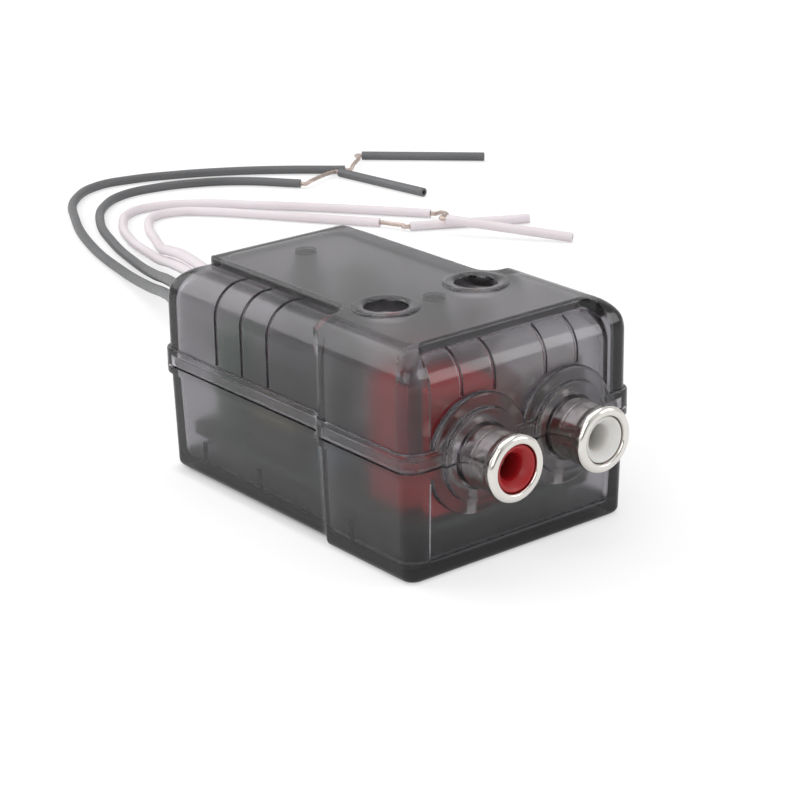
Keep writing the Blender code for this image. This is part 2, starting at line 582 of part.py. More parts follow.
def make_tray():
    tray = loft("bottom_tray", tray_levels(0, 0, BOTTOM_RADIUS), "housing")
    high = PARTING_Z - SEAT_GAP / 2
    reach = CASE_LENGTH
    panel = boxes("tray_front_recess", [((-FRONT_RECESS_HALF_WIDTH, -reach, FRONT_RECESS_FOOT_Z), (FRONT_RECESS_HALF_WIDTH, 0, reach))])
    boolean(panel, loft("tray_front_plane", tray_levels(FRONT_RECESS, -1 * MM, BOTTOM_RADIUS)))
    boolean(tray, panel)
    lip = [(z, inset) for z, inset in reversed([(2 * high - z, inset) for z, inset in flange_levels(high - 1 * MM, high + TRAY_FLANGE_HEIGHT)])]
    boolean(tray, loft("tray_flange", lip), "UNION")
    for collar in collars("tray_collar"):
        boolean(tray, collar, "UNION")
    boolean(tray, half_space("above_tray", high, 2 * CASE_HEIGHT))
    boolean(tray, loft("tray_cavity", tray_levels(WALL, FLOOR, BOTTOM_RADIUS, 2 * MM)))

    inner = WALL - TONGUE_THICKNESS
    tongue = loft("tongue", [(high - 2 * WALL, inner), (high + TONGUE_HEIGHT, inner)])
    boolean(tongue, loft("tongue_inside", [(0, WALL), (CASE_HEIGHT, WALL)]))
    boolean(tray, tongue, "UNION")

    post_end = BOSS_END_Z - SEAT_GAP
    posts = [(0, y, FLOOR / 2, POST_RADIUS, post_end - FLOOR / 2) for y in SCREW_YS.values()]
    boolean(tray, cylinders("tray_posts", posts), "UNION")
    ribs = []
    for y in RIB_YS:
        wall = (HALF_WIDTH if y < STEP_FRONT_Y else REAR_HALF_WIDTH) - WALL / 2 - TRAY_DRAFT * PARTING_Z
        for side in SIDES.values():
            ends = sorted((side * wall, side * (wall - WALL / 2 - RIB_REACH)))
            ribs.append(((ends[0], y - RIB_THICKNESS / 2, FLOOR / 2), (ends[1], y + RIB_THICKNESS / 2, BOARD_Z - SEAT_GAP)))
    boolean(tray, boxes("tray_ribs", ribs), "UNION")

    holes = [(0, y, -WALL, SCREW_RADIUS + SEAT_GAP, post_end + 2 * WALL) for y in SCREW_YS.values()]
    boolean(tray, cylinders("screw_holes", holes))
    sinks = [(0, y, -WALL, SCREW_HEAD_RADIUS + SEAT_GAP, WALL + SCREW_HEAD_Z + SCREW_HEAD_HEIGHT + SEAT_GAP) for y in SCREW_YS.values()]
    boolean(tray, cylinders("screw_sinks", sinks))
    boolean(tray, lead_notches("tray_lead_notches"))
    boolean(tray, jack_bores("tray_jack_bores"))
    smooth(tray)


def make_screws():
    """Self-tapping screws that come up through the tray's posts into the cover's bosses."""
    for place, y in SCREW_YS.items():
        top = SCREW_HEAD_Z + SCREW_HEAD_HEIGHT
        profile = [(0, top + SCREW_LENGTH), (SCREW_RADIUS * 0.4, top + SCREW_LENGTH), (SCREW_RADIUS, top + SCREW_LENGTH - 1.2 * MM),
                   (SCREW_RADIUS, top), (SCREW_HEAD_RADIUS, top), (SCREW_HEAD_RADIUS, SCREW_HEAD_Z + 0.5 * MM),
                   (SCREW_HEAD_RADIUS * 0.8, SCREW_HEAD_Z + 0.1 * MM), (SCREW_HEAD_RADIUS * 0.5, SCREW_HEAD_Z), (0, SCREW_HEAD_Z)]
        screw = turned(f"case_screw_{place}", profile, "steel", (0, y, 0), steps=SMALL_ROUND_STEPS)
        arm = SCREW_HEAD_RADIUS * 0.55
        half = SCREW_CROSS_WIDTH / 2
        deep = SCREW_HEAD_Z + SCREW_CROSS_DEPTH
        cross = boxes(f"cross_{place}", [((-arm, y - half, 0), (arm, y + half, deep))])
        boolean(cross, boxes(f"cross_other_{place}", [((-half, y - arm, -MM), (half, y + arm, deep))]), "UNION")
        boolean(screw, cross)


# Circuit board and what stands on it

BOARD_TOP = BOARD_Z + BOARD_THICKNESS
PART_Z = BOARD_TOP + SEAT_GAP


def make_board():
    points = []
    for sx, sy, start in ((1, -1, -90), (1, 1, 0), (-1, 1, 90), (-1, -1, 180)):
        y = BOARD_REAR_Y - BOARD_CORNER if sy > 0 else BOARD_FRONT_Y + BOARD_CORNER
        points += arc(sx * (BOARD_HALF_WIDTH - BOARD_CORNER), y, BOARD_CORNER, start, start + 90, 4)
    board = prism("circuit_board", points, BOARD_Z, BOARD_TOP, "board")
    boolean(board, cylinders("board_holes", [(0, y, 0, BOSS_RADIUS + SEAT_GAP, CASE_HEIGHT) for y in SCREW_YS.values()]))


def make_jack(side_name, plastic):
    side = SIDES[side_name]
    x = side * JACK_X
    depth = JACK_BLOCK_FRONT_Y - JACK_FACE_Y
    facing = (math.radians(90), 0, 0)
    seat = (x, JACK_BLOCK_FRONT_Y, JACK_Z)
    # The moulding: a block that stands on the board, and the insert that fills the shell
    half = JACK_BLOCK_WIDTH / 2
    body = boxes(f"{side_name}_jack_body", [((x - half, JACK_BLOCK_FRONT_Y, PART_Z), (x + half, JACK_BLOCK_REAR_Y, JACK_BLOCK_TOP_Z))],
                 plastic, JACK_BLOCK_EDGE)
    face = depth - INSERT_RECESS
    insert = turned(f"{side_name}_insert", [(0, face), (INSERT_RADIUS, face), (INSERT_RADIUS, -1 * MM), (0, -1 * MM)], None, seat, facing)
    boolean(body, insert, "UNION")
    back = JACK_BLOCK_REAR_Y - JACK_BLOCK_FRONT_Y + 1 * MM
    socket = [(0, face + MM), (SOCKET_MOUTH, face + MM), (SOCKET_MOUTH, face), (SOCKET_RADIUS + 0.25 * MM, face - SOCKET_FUNNEL * 0.6),
              (SOCKET_RADIUS, face - SOCKET_FUNNEL), (SOCKET_RADIUS, -back), (0, -back)]
    boolean(body, turned(f"{side_name}_socket", socket, None, seat, facing))
    smooth(body)

    # The nickel shell: a flange against the block, a ringed shank and a rolled rim
    base = SEAT_GAP
    flange = base + SHELL_FLANGE_THICKNESS
    lip = SHELL_RIM_RADIUS - SHELL_RADIUS
    outer = [(SHELL_RADIUS, depth - SHELL_RIM_LENGTH)]
    for ring in range(SHELL_RINGS, 0, -1):
        z = flange + ring * SHELL_RING_PITCH
        outer += [(SHELL_RADIUS, z + 0.3 * MM), (SHELL_RADIUS - SHELL_RING_DEPTH, z), (SHELL_RADIUS - SHELL_RING_DEPTH, z - 0.25 * MM)]
    outer += [(SHELL_RADIUS, flange), (SHELL_FLANGE_RADIUS, flange), (SHELL_FLANGE_RADIUS, base)]
    rolled = [(SHELL_LIP, depth - 0.7 * MM), (SHELL_LIP + 0.12 * MM, depth - 0.25 * MM), (SHELL_LIP + 0.4 * MM, depth),
              (SHELL_RIM_RADIUS - 0.45 * MM, depth), (SHELL_RIM_RADIUS - 0.15 * MM, depth - 0.2 * MM), (SHELL_RIM_RADIUS, depth - 0.6 * MM),
              (SHELL_RIM_RADIUS, depth - 1.1 * MM), (SHELL_RADIUS + lip * 0.7, depth - 1.6 * MM), (SHELL_RADIUS + lip * 0.2, depth - 2.0 * MM)]
    inner = [(SHELL_BORE, base), (SHELL_BORE, depth - 1.1 * MM)]
    shell = turned(f"{side_name}_jack_shell", rolled + outer + inner, "nickel", seat, facing, closed=True)
    tail_half = CONTACT_TAIL_WIDTH / 2
    tail = boxes(f"{side_name}_shell_tail", [((x - tail_half, JACK_BLOCK_FRONT_Y - flange + 0.05 * MM, PART_Z),
                                               (x + tail_half, JACK_BLOCK_FRONT_Y - base - 0.05 * MM, JACK_Z - SHELL_BORE - 0.6 * MM))])
    boolean(shell, tail, "UNION")

    # The centre contact: a tube in the socket, and a tail behind the block down to the board
    front = face - CONTACT_SETBACK
    rear = JACK_BLOCK_REAR_Y - JACK_BLOCK_FRONT_Y + SEAT_GAP
    contact = turned(f"{side_name}_jack_contact",
                     [(0, 0), (CONTACT_BORE, 0), (CONTACT_BORE, front), (CONTACT_RADIUS, front), (CONTACT_RADIUS, -rear), (0, -rear)],
                     "contact_metal", seat, facing, steps=SMALL_ROUND_STEPS)
    back_y = JACK_BLOCK_REAR_Y + SEAT_GAP
    strip = boxes(f"{side_name}_contact_tail", [((x - tail_half, back_y - 0.05 * MM, PART_Z),
                                                  (x + tail_half, back_y + CONTACT_TAIL_THICKNESS, JACK_Z + CONTACT_RADIUS))])
    boolean(contact, strip, "UNION")


def make_pot(side_name):
    """A gain pot: a body on the board, and a slotted shaft that turns in it, under the hole in the cover."""
    x = SIDES[side_name] * GAIN_X
    top = PART_Z + POT_HEIGHT
    body = boxes(f"{side_name}_gain_pot", [((x - POT_WIDTH / 2, GAIN_Y - POT_DEPTH / 2, PART_Z), (x + POT_WIDTH / 2, GAIN_Y + POT_DEPTH / 2, top))],
                 "pot_black", 0.4 * MM)
    seat_z = top - 2.4 * MM
    collar_gap = SHAFT_RUNNING_GAP * 2
    bore = [(0, top + MM), (SHAFT_RADIUS + SHAFT_RUNNING_GAP, top + MM), (SHAFT_RADIUS + SHAFT_RUNNING_GAP, seat_z), (0, seat_z)]
    boolean(body, turned(f"{side_name}_pot_bore", bore, None, (x, GAIN_Y, 0)))
    shaft = turned(f"{side_name}_gain_shaft",
                   [(0, SHAFT_TOP_Z), (SHAFT_RADIUS - 0.3 * MM, SHAFT_TOP_Z), (SHAFT_RADIUS, SHAFT_TOP_Z - 0.3 * MM),
                    (SHAFT_RADIUS, top + collar_gap + SHAFT_COLLAR_HEIGHT), (SHAFT_COLLAR_RADIUS, top + collar_gap + SHAFT_COLLAR_HEIGHT),
                    (SHAFT_COLLAR_RADIUS, top + collar_gap), (SHAFT_RADIUS, top + collar_gap),
                    (SHAFT_RADIUS, seat_z + collar_gap), (0, seat_z + collar_gap)],
                   "shaft_grey", (x, GAIN_Y, 0))
    half = SHAFT_SLOT_WIDTH / 2
    reach = 2 * SHAFT_RADIUS
    slot = boxes(f"{side_name}_shaft_slot", [((x - half, GAIN_Y - reach, SHAFT_TOP_Z - SHAFT_SLOT_DEPTH), (x + half, GAIN_Y + reach, SHAFT_TOP_Z + MM))])
    boolean(shaft, slot)


def make_transformer(side_name):
    """An E-I core stood on edge, with a taped coil on a bobbin round its middle leg."""
    x = SIDES[side_name] * TRANSFORMER_X
    y = TRANSFORMER_Y
    z = PART_Z
    half_stack, half_length, half_leg = CORE_STACK / 2, CORE_LENGTH / 2, CORE_LEG / 2
    core = boxes(f"{side_name}_transformer_core", [((x - half_stack, y - half_length, z), (x + half_stack, y + half_length, z + CORE_HEIGHT))],
                 "lamination", 0.2 * MM, 1)
    low, high = z + CORE_YOKE, z + CORE_HEIGHT - CORE_YOKE
    windows = [((x - CORE_STACK, y + near, low), (x + CORE_STACK, y + far, high))
               for near, far in ((half_leg, half_leg + CORE_WINDOW), (-half_leg - CORE_WINDOW, -half_leg))]
    boolean(core, boxes(f"{side_name}_core_windows", windows))

    tube_x, tube_y = half_stack + SEAT_GAP, half_leg + SEAT_GAP
    wall_x, wall_y = tube_x + BOBBIN_WALL, tube_y + BOBBIN_WALL
    coil_x, coil_y = wall_x + COIL_DEPTH, wall_y + COIL_DEPTH
    base, top = low + SEAT_GAP, high - SEAT_GAP
    flange = BOBBIN_FLANGE
    flanges = [((x - coil_x, y - coil_y, base), (x + coil_x, y + coil_y, base + flange)),
               ((x - coil_x, y - coil_y, top - flange), (x + coil_x, y + coil_y, top))]
    rails = [((x + s * (coil_x - BOBBIN_RAIL / 2) - BOBBIN_RAIL / 2, y - coil_y, z),
              (x + s * (coil_x - BOBBIN_RAIL / 2) + BOBBIN_RAIL / 2, y + coil_y, base + flange * 0.5)) for s in (-1, 1)]
    bobbin = boxes(f"{side_name}_transformer_bobbin", [((x - wall_x, y - wall_y, base), (x + wall_x, y + wall_y, top))], "bobbin_black")
    for k, corners in enumerate(flanges + rails):
        boolean(bobbin, boxes(f"{side_name}_bobbin_{k}", [corners]), "UNION")
    boolean(bobbin, boxes(f"{side_name}_bobbin_hole", [((x - tube_x, y - tube_y, 0), (x + tube_x, y + tube_y, CASE_HEIGHT))]))

    gap = SEAT_GAP
    coil = boxes(f"{side_name}_transformer_coil",
                 [((x - coil_x + gap / 2, y - coil_y + gap / 2, base + flange + gap), (x + coil_x - gap / 2, y + coil_y - gap / 2, top - flange - gap))],
                 "coil_tape", 0.7 * MM)
    boolean(coil, boxes(f"{side_name}_coil_hole", [((x - wall_x - gap, y - wall_y - gap, 0), (x + wall_x + gap, y + wall_y + gap, CASE_HEIGHT))]))


def make_capacitor(side_name):
    radius, crimp = CAPACITOR_RADIUS, CAPACITOR_CRIMP
    top = PART_Z + CAPACITOR_HEIGHT
    profile = [(0, top - 0.2 * MM), (radius * 0.72, top - 0.2 * MM), (radius * 0.78, top), (radius - 0.3 * MM, top), (radius, top - 0.3 * MM),
               (radius, PART_Z + 2.6 * MM), (radius - crimp, PART_Z + 2.0 * MM), (radius, PART_Z + 1.4 * MM),
               (radius, PART_Z + 0.3 * MM), (radius - 0.3 * MM, PART_Z), (0, PART_Z)]
    turned(f"{side_name}_capacitor", profile, "capacitor_sleeve", (SIDES[side_name] * CAPACITOR_X, CAPACITOR_Y, 0), steps=SMALL_ROUND_STEPS)


def make_resistor(side_name, place, y):
    """An axial resistor lying across the board, its two wires bent down to it."""
    x = SIDES[side_name] * RESISTOR_X
    z = PART_Z + RESISTOR_RISE
    half, span = RESISTOR_LENGTH / 2, RESISTOR_SPAN / 2
    bend = 0.7 * MM
    path = [(x - span, y, PART_Z), (x - span, y, z - bend), (x - span + bend, y, z),
            (x + span - bend, y, z), (x + span, y, z - bend), (x + span, y, PART_Z)]
    wire = curve_to_mesh(tube(f"{side_name}_resistor_wire_{place}", path, RESISTOR_LEAD_RADIUS, None))
    end, waist = RESISTOR_RADIUS, RESISTOR_WAIST
    profile = [(0, half), (end * 0.7, half), (end, half - 0.5 * MM), (end, half - 1.4 * MM), (waist, half - 1.9 * MM),
               (waist, -half + 1.9 * MM), (end, -half + 1.4 * MM), (end, -half + 0.5 * MM), (end * 0.7, -half), (0, -half)]
    body = turned(f"{side_name}_resistor_{place}", profile, "resistor_body", (x, y, z), (0, math.radians(90), 0), steps=12)
    boolean(body, wire, "UNION")


# Leads

def lead_start(name):
    """The way from the pad on the board up to the notch in the rear wall."""
    x = LEAD_EXIT_X[name]
    rise = PARTING_Z - PART_Z
    return [(x, LEAD_PAD_Y, PART_Z), (x, LEAD_PAD_Y + 0.1 * MM, PART_Z + rise * 0.4), (x, LEAD_PAD_Y + 1.0 * MM, PART_Z + rise * 0.78),
            (x, LEAD_PAD_Y + LEAD_BEND_LENGTH, PARTING_Z - LEAD_BEND_DROP), (x, HALF_LENGTH - WALL, PARTING_Z), (x, CASE_LENGTH / 2 + MM, PARTING_Z)]


def metres(points):
    return [tuple(v * MM for v in p) for p in points]


def make_lead(name):
    slot = name.split("_")[0] + "_insulation"
    route = lead_start(name) + metres(ROUTES[name])
    fine = smooth_path(route, LEAD_SPACING / 3)
    inside = [p for p in fine if p.y < CASE_LENGTH / 2]
    outside = fine[len(inside):]
    tube(f"{name}_lead", inside[::2] + outside[:-2:3] + outside[-1:], LEAD_RADIUS, slot)
    slug = metres(SLUGS[name])
    end, start = Vector(route[-1]), Vector(slug[0])
    middle = [Vector(p) for p in metres(STRANDS[name])]
    out = (end - Vector(route[-2])).normalized()
    into = (start - Vector(slug[1])).normalized()
    straight = SEAT_GAP + 2 * STRAND_RADIUS
    strands = [end + out * SEAT_GAP, end + out * straight, *middle, start + into * straight, start + into * SEAT_GAP]
    tube(f"{name}_strands", smooth_path(strands, 1.3 * MM), STRAND_RADIUS, "copper")
    tube(f"{name}_slug", smooth_path(slug, LEAD_SPACING), LEAD_RADIUS, slot)


make_cover()
make_tray()
make_screws()
make_board()
make_jack("left", "red_plastic")
make_jack("right", "white_plastic")
for side_name in SIDES:
    make_pot(side_name)
    make_transformer(side_name)
    make_capacitor(side_name)
    for place, y in enumerate(RESISTOR_YS):
        make_resistor(side_name, ("front", "rear")[place], y)
for lead_name in LEAD_EXIT_X:
    make_lead(lead_name)
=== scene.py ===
# %% [markdown]
# # A line output converter, modelled and lit in Blender
# This box turns a loudspeaker signal into a line signal. It has a smoked plastic case in two
# halves, two phono jacks in front, two gain adjusters under holes in the top, and four leads
# behind. Each step below says what a piece is and how it is made, then makes it.
# Everything is in metres, in the frame of the CAD model that the script loads first.

# %% Load the CAD model as a fixed frame
import math

import bpy
from mathutils import Matrix, Vector


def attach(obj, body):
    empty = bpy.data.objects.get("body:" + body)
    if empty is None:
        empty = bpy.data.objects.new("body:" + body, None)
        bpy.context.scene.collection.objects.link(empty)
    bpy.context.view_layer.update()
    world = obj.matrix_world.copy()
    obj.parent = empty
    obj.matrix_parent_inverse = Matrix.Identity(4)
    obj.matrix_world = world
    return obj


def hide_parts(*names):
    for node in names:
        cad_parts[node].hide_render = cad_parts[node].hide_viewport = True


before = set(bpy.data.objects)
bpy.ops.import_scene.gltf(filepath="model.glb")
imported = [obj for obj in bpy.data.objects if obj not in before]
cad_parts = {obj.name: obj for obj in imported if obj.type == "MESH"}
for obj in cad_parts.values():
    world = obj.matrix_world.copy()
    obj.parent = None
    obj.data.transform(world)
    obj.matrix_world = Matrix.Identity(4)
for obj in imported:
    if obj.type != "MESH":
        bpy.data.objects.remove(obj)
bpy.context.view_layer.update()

MM = 0.001
print("CAD nodes:", len(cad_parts))

# %% [markdown]
# ## The camera
# The photograph was taken from above the front left corner with a long lens. The camera's three
# axes are worked out from its azimuth, elevation and a small roll, so that the picture lines up.
# These numbers were fitted to edges of the case that are easy to find in the photograph.

# %% Place the camera
PHOTO_PIXELS = 800
FOCAL_PIXELS = 2369.99
SENSOR_WIDTH = 36
AZIMUTH, ELEVATION, ROLL = -38.791, 20.416, -0.933
MIDDLE = Vector((0, 0, 15 * MM))
AIM_RIGHT, AIM_UP, DISTANCE = 1.686 * MM, -2.261 * MM, 311.496 * MM

azimuth, elevation, roll = (math.radians(v) for v in (AZIMUTH, ELEVATION, ROLL))
right = Vector((math.cos(azimuth), math.sin(azimuth), 0))
level_back = Vector((math.sin(azimuth), -math.cos(azimuth), 0))
back = level_back * math.cos(elevation) + Vector((0, 0, math.sin(elevation)))
up = back.cross(right)
camera_place = MIDDLE + right * AIM_RIGHT + up * AIM_UP + back * DISTANCE
rolled_right = right * math.cos(roll) + up * math.sin(roll)
rolled_up = up * math.cos(roll) - right * math.sin(roll)

bpy.ops.object.camera_add()
camera = bpy.context.object
camera.data.sensor_width = SENSOR_WIDTH
camera.data.lens = SENSOR_WIDTH * FOCAL_PIXELS / PHOTO_PIXELS
camera.data.clip_start = 0.01
turn = Matrix((rolled_right, rolled_up, back)).transposed()
camera.matrix_world = Matrix.Translation(camera_place) @ turn.to_4x4()
bpy.context.scene.camera = camera
print("camera", [round(v, 4) for v in camera_place])

# %% [markdown]
# ## Materials as Python expressions
# A material here is one Principled shader and the nodes that feed it. `Value` wraps a socket, so
# that sums and products of sockets can be written as plain Python. `Graph.node` adds any node to
# a tree, and `Finish` is the graph of one material.

# %% Wrap a socket
class Value:
    """An output socket that takes part in Python expressions."""

    def __init__(self, graph, socket):
        self.graph = graph
        self.socket = socket

    def calc(self, operation, a, b=0.0):
        return self.graph.node("ShaderNodeMath", {"operation": operation}, {0: a, 1: b})

    def __add__(self, other):
        return self.calc("ADD", self, other)

    def __sub__(self, other):
        return self.calc("SUBTRACT", self, other)

    def __rsub__(self, other):
        return self.calc("SUBTRACT", other, self)

    def __mul__(self, other):
        return self.calc("MULTIPLY", self, other)

    def __pow__(self, other):
        return self.calc("POWER", self, other)

    def __abs__(self):
        return self.calc("ABSOLUTE", self)

    __radd__ = __add__
    __rmul__ = __mul__

    def larger(self, other):
        return self.calc("MAXIMUM", self, other)

    def between(self, low, high):
        """0 below low, 1 above high and a straight slope between."""
        return self.graph.node("ShaderNodeMapRange", {}, {0: self, 1: low, 2: high})


# %% Wrap a tree of nodes and a material
class Graph:
    """The nodes of one tree."""

    def __init__(self, tree):
        self.tree = tree

    def put(self, value, socket):
        if isinstance(value, Value):
            self.tree.links.new(value.socket, socket)
        else:
            socket.default_value = value

    def node(self, kind, settings=None, sockets=None, output=0):
        made = self.tree.nodes.new(kind)
        for name, value in (settings or {}).items():
            setattr(made, name, value)
        for key, value in (sockets or {}).items():
            self.put(value, made.inputs[key])
        return Value(self, made.outputs[output])

    def place(self):
        return self.node("ShaderNodeTexCoord", output="Object")

    def axis(self, letter):
        return self.node("ShaderNodeSeparateXYZ", {}, {0: self.place()}, letter)

    def blend(self, amount, a, b):
        """Colour a where amount is 0 and colour b where it is 1."""
        first, second = ((*c, 1) if isinstance(c, tuple) else c for c in (a, b))
        return self.node("ShaderNodeMix", {"data_type": "RGBA"}, {0: amount, 6: first, 7: second}, 2)


class Finish(Graph):
    """A material: a Principled shader and whatever varies over the surface."""

    def __init__(self, name, **constants):
        self.material = bpy.data.materials.new(name)
        self.material.use_nodes = True
        super().__init__(self.material.node_tree)
        self.shader = self.tree.nodes["Principled BSDF"]
        for socket, value in constants.items():
            self.put(value, self.shader.inputs[socket.replace("_", " ")])

    def feed(self, **sockets):
        for name, value in sockets.items():
            self.put(value, self.shader.inputs[name.replace("_", " ")])
        return self

    def noise(self, per_metre, detail=3.0, stretch=(1, 1, 1)):
        place = self.node("ShaderNodeMapping", {}, {"Vector": self.place(), "Scale": stretch})
        sockets = {"Vector": place, "Scale": per_metre, "Detail": detail}
        return self.node("ShaderNodeTexNoise", {}, sockets)

    def bands(self, direction, per_metre, distortion):
        """Straight stripes across one axis, as of sheets or windings."""
        settings = {"wave_type": "BANDS", "bands_direction": direction}
        sockets = {"Vector": self.place(), "Scale": per_metre, "Distortion": distortion}
        return self.node("ShaderNodeTexWave", settings, sockets, 1)

    def attribute(self, name):
        return self.node("ShaderNodeAttribute", {"attribute_name": name}, output="Fac")

    def bump(self, height, distance, strength=1.0):
        sockets = {"Height": height, "Distance": distance, "Strength": strength}
        return self.node("ShaderNodeBump", {}, sockets)


def wear(piece, finish):
    """Gives a piece its material."""
    piece.data.materials.clear()
    piece.data.materials.append(finish.material)


# %% [markdown]
# ## The floor, the background and the light
# The object stands on a white table. The floor is half lit and half self-coloured where the
# camera or a reflection sees it, which keeps a soft shadow and still comes out white. Under the
# case's foot the self-coloured glow is cut off, a painted shadow. Four large soft lamps light
# the case: from the left, from above, from the right and from behind.

# %% Say which rays see the white
REFLECTED = 0.5


def seen_ray(graph):
    """1 for a ray from the camera or through a see-through surface, and less for a mirror reflection."""
    camera_ray, glossy_ray, through_ray = (graph.node("ShaderNodeLightPath", output=name)
                                           for name in ("Is Camera Ray", "Is Glossy Ray", "Is Transmission Ray"))
    return camera_ray.larger((glossy_ray * REFLECTED).larger(through_ray))


# %% Make the floor
FLOOR_LIT = (0.8, 0.8, 0.8)
FLOOR_SEEN = (0.45, 0.45, 0.45)
FLOOR_GLOW = 0.6
# Between these distances from the middle the floor's glow fades out under the case's foot, a painted shadow
PAINTED_SHADOW_X = (14.5 * MM, 18.5 * MM)
PAINTED_SHADOW_Y = (23.0 * MM, 26.5 * MM)

bpy.ops.mesh.primitive_plane_add(size=6)
floor = bpy.context.object
floor.name = "floor"
floor_finish = bpy.data.materials.new("floor_white")
floor_finish.use_nodes = True
tree = floor_finish.node_tree
tree.nodes.clear()
table = Graph(tree)
output = tree.nodes.new("ShaderNodeOutputMaterial")
seen = seen_ray(table)
# under is a painted shadow: it cuts the floor's glow off beneath the case
under = (1 - abs(table.axis("X")).between(*PAINTED_SHADOW_X)) * (1 - abs(table.axis("Y")).between(*PAINTED_SHADOW_Y))
matt = table.node("ShaderNodeBsdfDiffuse", {}, {"Color": table.blend(seen, FLOOR_LIT, FLOOR_SEEN)})
glow = table.node("ShaderNodeEmission", {}, {"Strength": seen * (1 - under) * FLOOR_GLOW})
both = table.node("ShaderNodeAddShader", {}, {0: matt, 1: glow})
tree.links.new(both.socket, output.inputs[0])
floor.data.materials.append(floor_finish)
print("floor", floor.dimensions[0], "m wide")

# %% Make the white room
ROOM_LEVEL = 0.45
# A mirror reflection sees a darker room in front and to the left, as in a studio
DARK_SIDE = Vector((-0.59, -0.73, 0.35))
DARK_RANGE = (0.75, 0.93)
DARKER = 0.5

world = bpy.data.worlds.new("white_room")
world.use_nodes = True
bpy.context.scene.world = world
tree = world.node_tree
background = tree.nodes["Background"]
background.inputs["Color"].default_value = (1, 1, 1, 1)
room = Graph(tree)
direction = room.node("ShaderNodeTexCoord", output="Generated")
towards_dark = room.node("ShaderNodeVectorMath", {"operation": "DOT_PRODUCT"}, {0: direction, 1: DARK_SIDE}, "Value")
reflection = room.node("ShaderNodeLightPath", output="Is Glossy Ray")
level = ROOM_LEVEL + seen_ray(room) * (1 - ROOM_LEVEL) - reflection * towards_dark.between(*DARK_RANGE) * DARKER
tree.links.new(level.socket, background.inputs["Strength"])
print("the room is white")

# %% Place the lamps, each with its place, its width and its power in watts
LAMPS = {
    "lamp_left": ((-0.75, -0.35, 0.55), 0.8, 3.8),
    "lamp_top": ((0.05, 0.15, 0.8), 0.8, 2.3),
    "lamp_right": ((0.6, -0.6, 0.35), 0.4, 1.5),
    "lamp_behind": ((-0.35, 0.7, 0.55), 0.8, 3.2),
}
for name, (place, width, watts) in LAMPS.items():
    bpy.ops.object.light_add(type="AREA", location=place)
    lamp = bpy.context.object
    lamp.name = name
    lamp.data.size = width
    lamp.data.energy = watts
    lamp.rotation_euler = (MIDDLE - Vector(place)).to_track_quat("-Z", "Y").to_euler()
bpy.context.scene.view_settings.view_transform = "Standard"
print("lamps:", ", ".join(LAMPS))

# %% [markdown]
# ## Helpers for modelling
# Operators act on all that is selected, so each helper clears the selection first. A tool body is
# taken out of, or joined to, a piece with a Boolean modifier that is applied at once.

# %% Select and finish
MERGED = 0.000001


def only(piece):
    """Selects one piece and makes it the active one."""
    bpy.ops.object.select_all(action="DESELECT")
    piece.select_set(True)
    bpy.context.view_layer.objects.active = piece


def edit(piece):
    """Goes into edit mode with everything selected."""
    only(piece)
    bpy.ops.object.mode_set(mode="EDIT")
    bpy.ops.mesh.select_mode(type="VERT")
    bpy.ops.mesh.select_all(action="SELECT")


def edit_edges_above(piece, height):
    """Goes into edit mode with only the edges selected that lie above a height."""
    only(piece)
    bpy.ops.object.mode_set(mode="EDIT")
    bpy.ops.mesh.select_mode(type="EDGE")
    bpy.ops.mesh.select_all(action="DESELECT")
    bpy.ops.object.mode_set(mode="OBJECT")
    for edge in piece.data.edges:
        edge.select = all(piece.data.vertices[v].co.z > height for v in edge.vertices)
    bpy.ops.object.mode_set(mode="EDIT")


def leave():
    bpy.ops.object.mode_set(mode="OBJECT")


def settle(piece):
    """Moves an object's place, turn and size into its mesh."""
    only(piece)
    bpy.ops.object.transform_apply(location=True, rotation=True, scale=True)


def tidy(piece, angle=30):
    """Merges doubles, points the faces outwards and shades the piece smooth up to an angle."""
    edit(piece)
    bpy.ops.mesh.remove_doubles(threshold=MERGED)
    bpy.ops.mesh.normals_make_consistent(inside=False)
    leave()
    only(piece)
    bpy.ops.object.shade_smooth_by_angle(angle=math.radians(angle))
    step = piece.modifiers.new("even", "WEIGHTED_NORMAL")
    step.keep_sharp = True
    step.weight = 100
    bpy.ops.object.modifier_apply(modifier=step.name)


def combine(piece, tool, operation="DIFFERENCE"):
    """Takes a tool body out of a piece, or joins it, and removes the tool."""
    step = piece.modifiers.new("combine", "BOOLEAN")
    step.operation = operation
    step.object = tool
    step.solver = "EXACT"
    only(piece)
    bpy.ops.object.modifier_apply(modifier=step.name)
    bpy.data.objects.remove(tool, do_unlink=True)


# %% Make the forms that pieces start from
def in_scene(name, data):
    """Makes an object of a mesh or a curve."""
    made = bpy.data.objects.new(name, data)
    bpy.context.scene.collection.objects.link(made)
    return made


def mesh_object(name, points, edges=(), faces=()):
    mesh = bpy.data.meshes.new(name)
    mesh.from_pydata(points, edges, faces)
    return in_scene(name, mesh)


def block(name, low, high, edge=0.0, segments=3):
    """A box between two corners, with all its edges rounded if edge is set."""
    centre = [(a + b) / 2 for a, b in zip(low, high)]
    bpy.ops.mesh.primitive_cube_add(size=1, location=centre)
    made = bpy.context.object
    made.name = name
    made.scale = [b - a for a, b in zip(low, high)]
    settle(made)
    if edge:
        edit(made)
        bpy.ops.mesh.bevel(offset=edge, segments=segments, affect="EDGES")
        leave()
    return made


def rod(name, radius, start, length, axis="Z", vertices=48):
    """A cylinder from start along +Z or +Y."""
    turned = {"Z": (0, 0, 0), "Y": (math.radians(-90), 0, 0)}[axis]
    way = {"Z": Vector((0, 0, 1)), "Y": Vector((0, 1, 0))}[axis]
    bpy.ops.mesh.primitive_cylinder_add(vertices=vertices, radius=radius, depth=length,
                                        location=Vector(start) + way * length / 2, rotation=turned)
    made = bpy.context.object
    made.name = name
    settle(made)
    return made


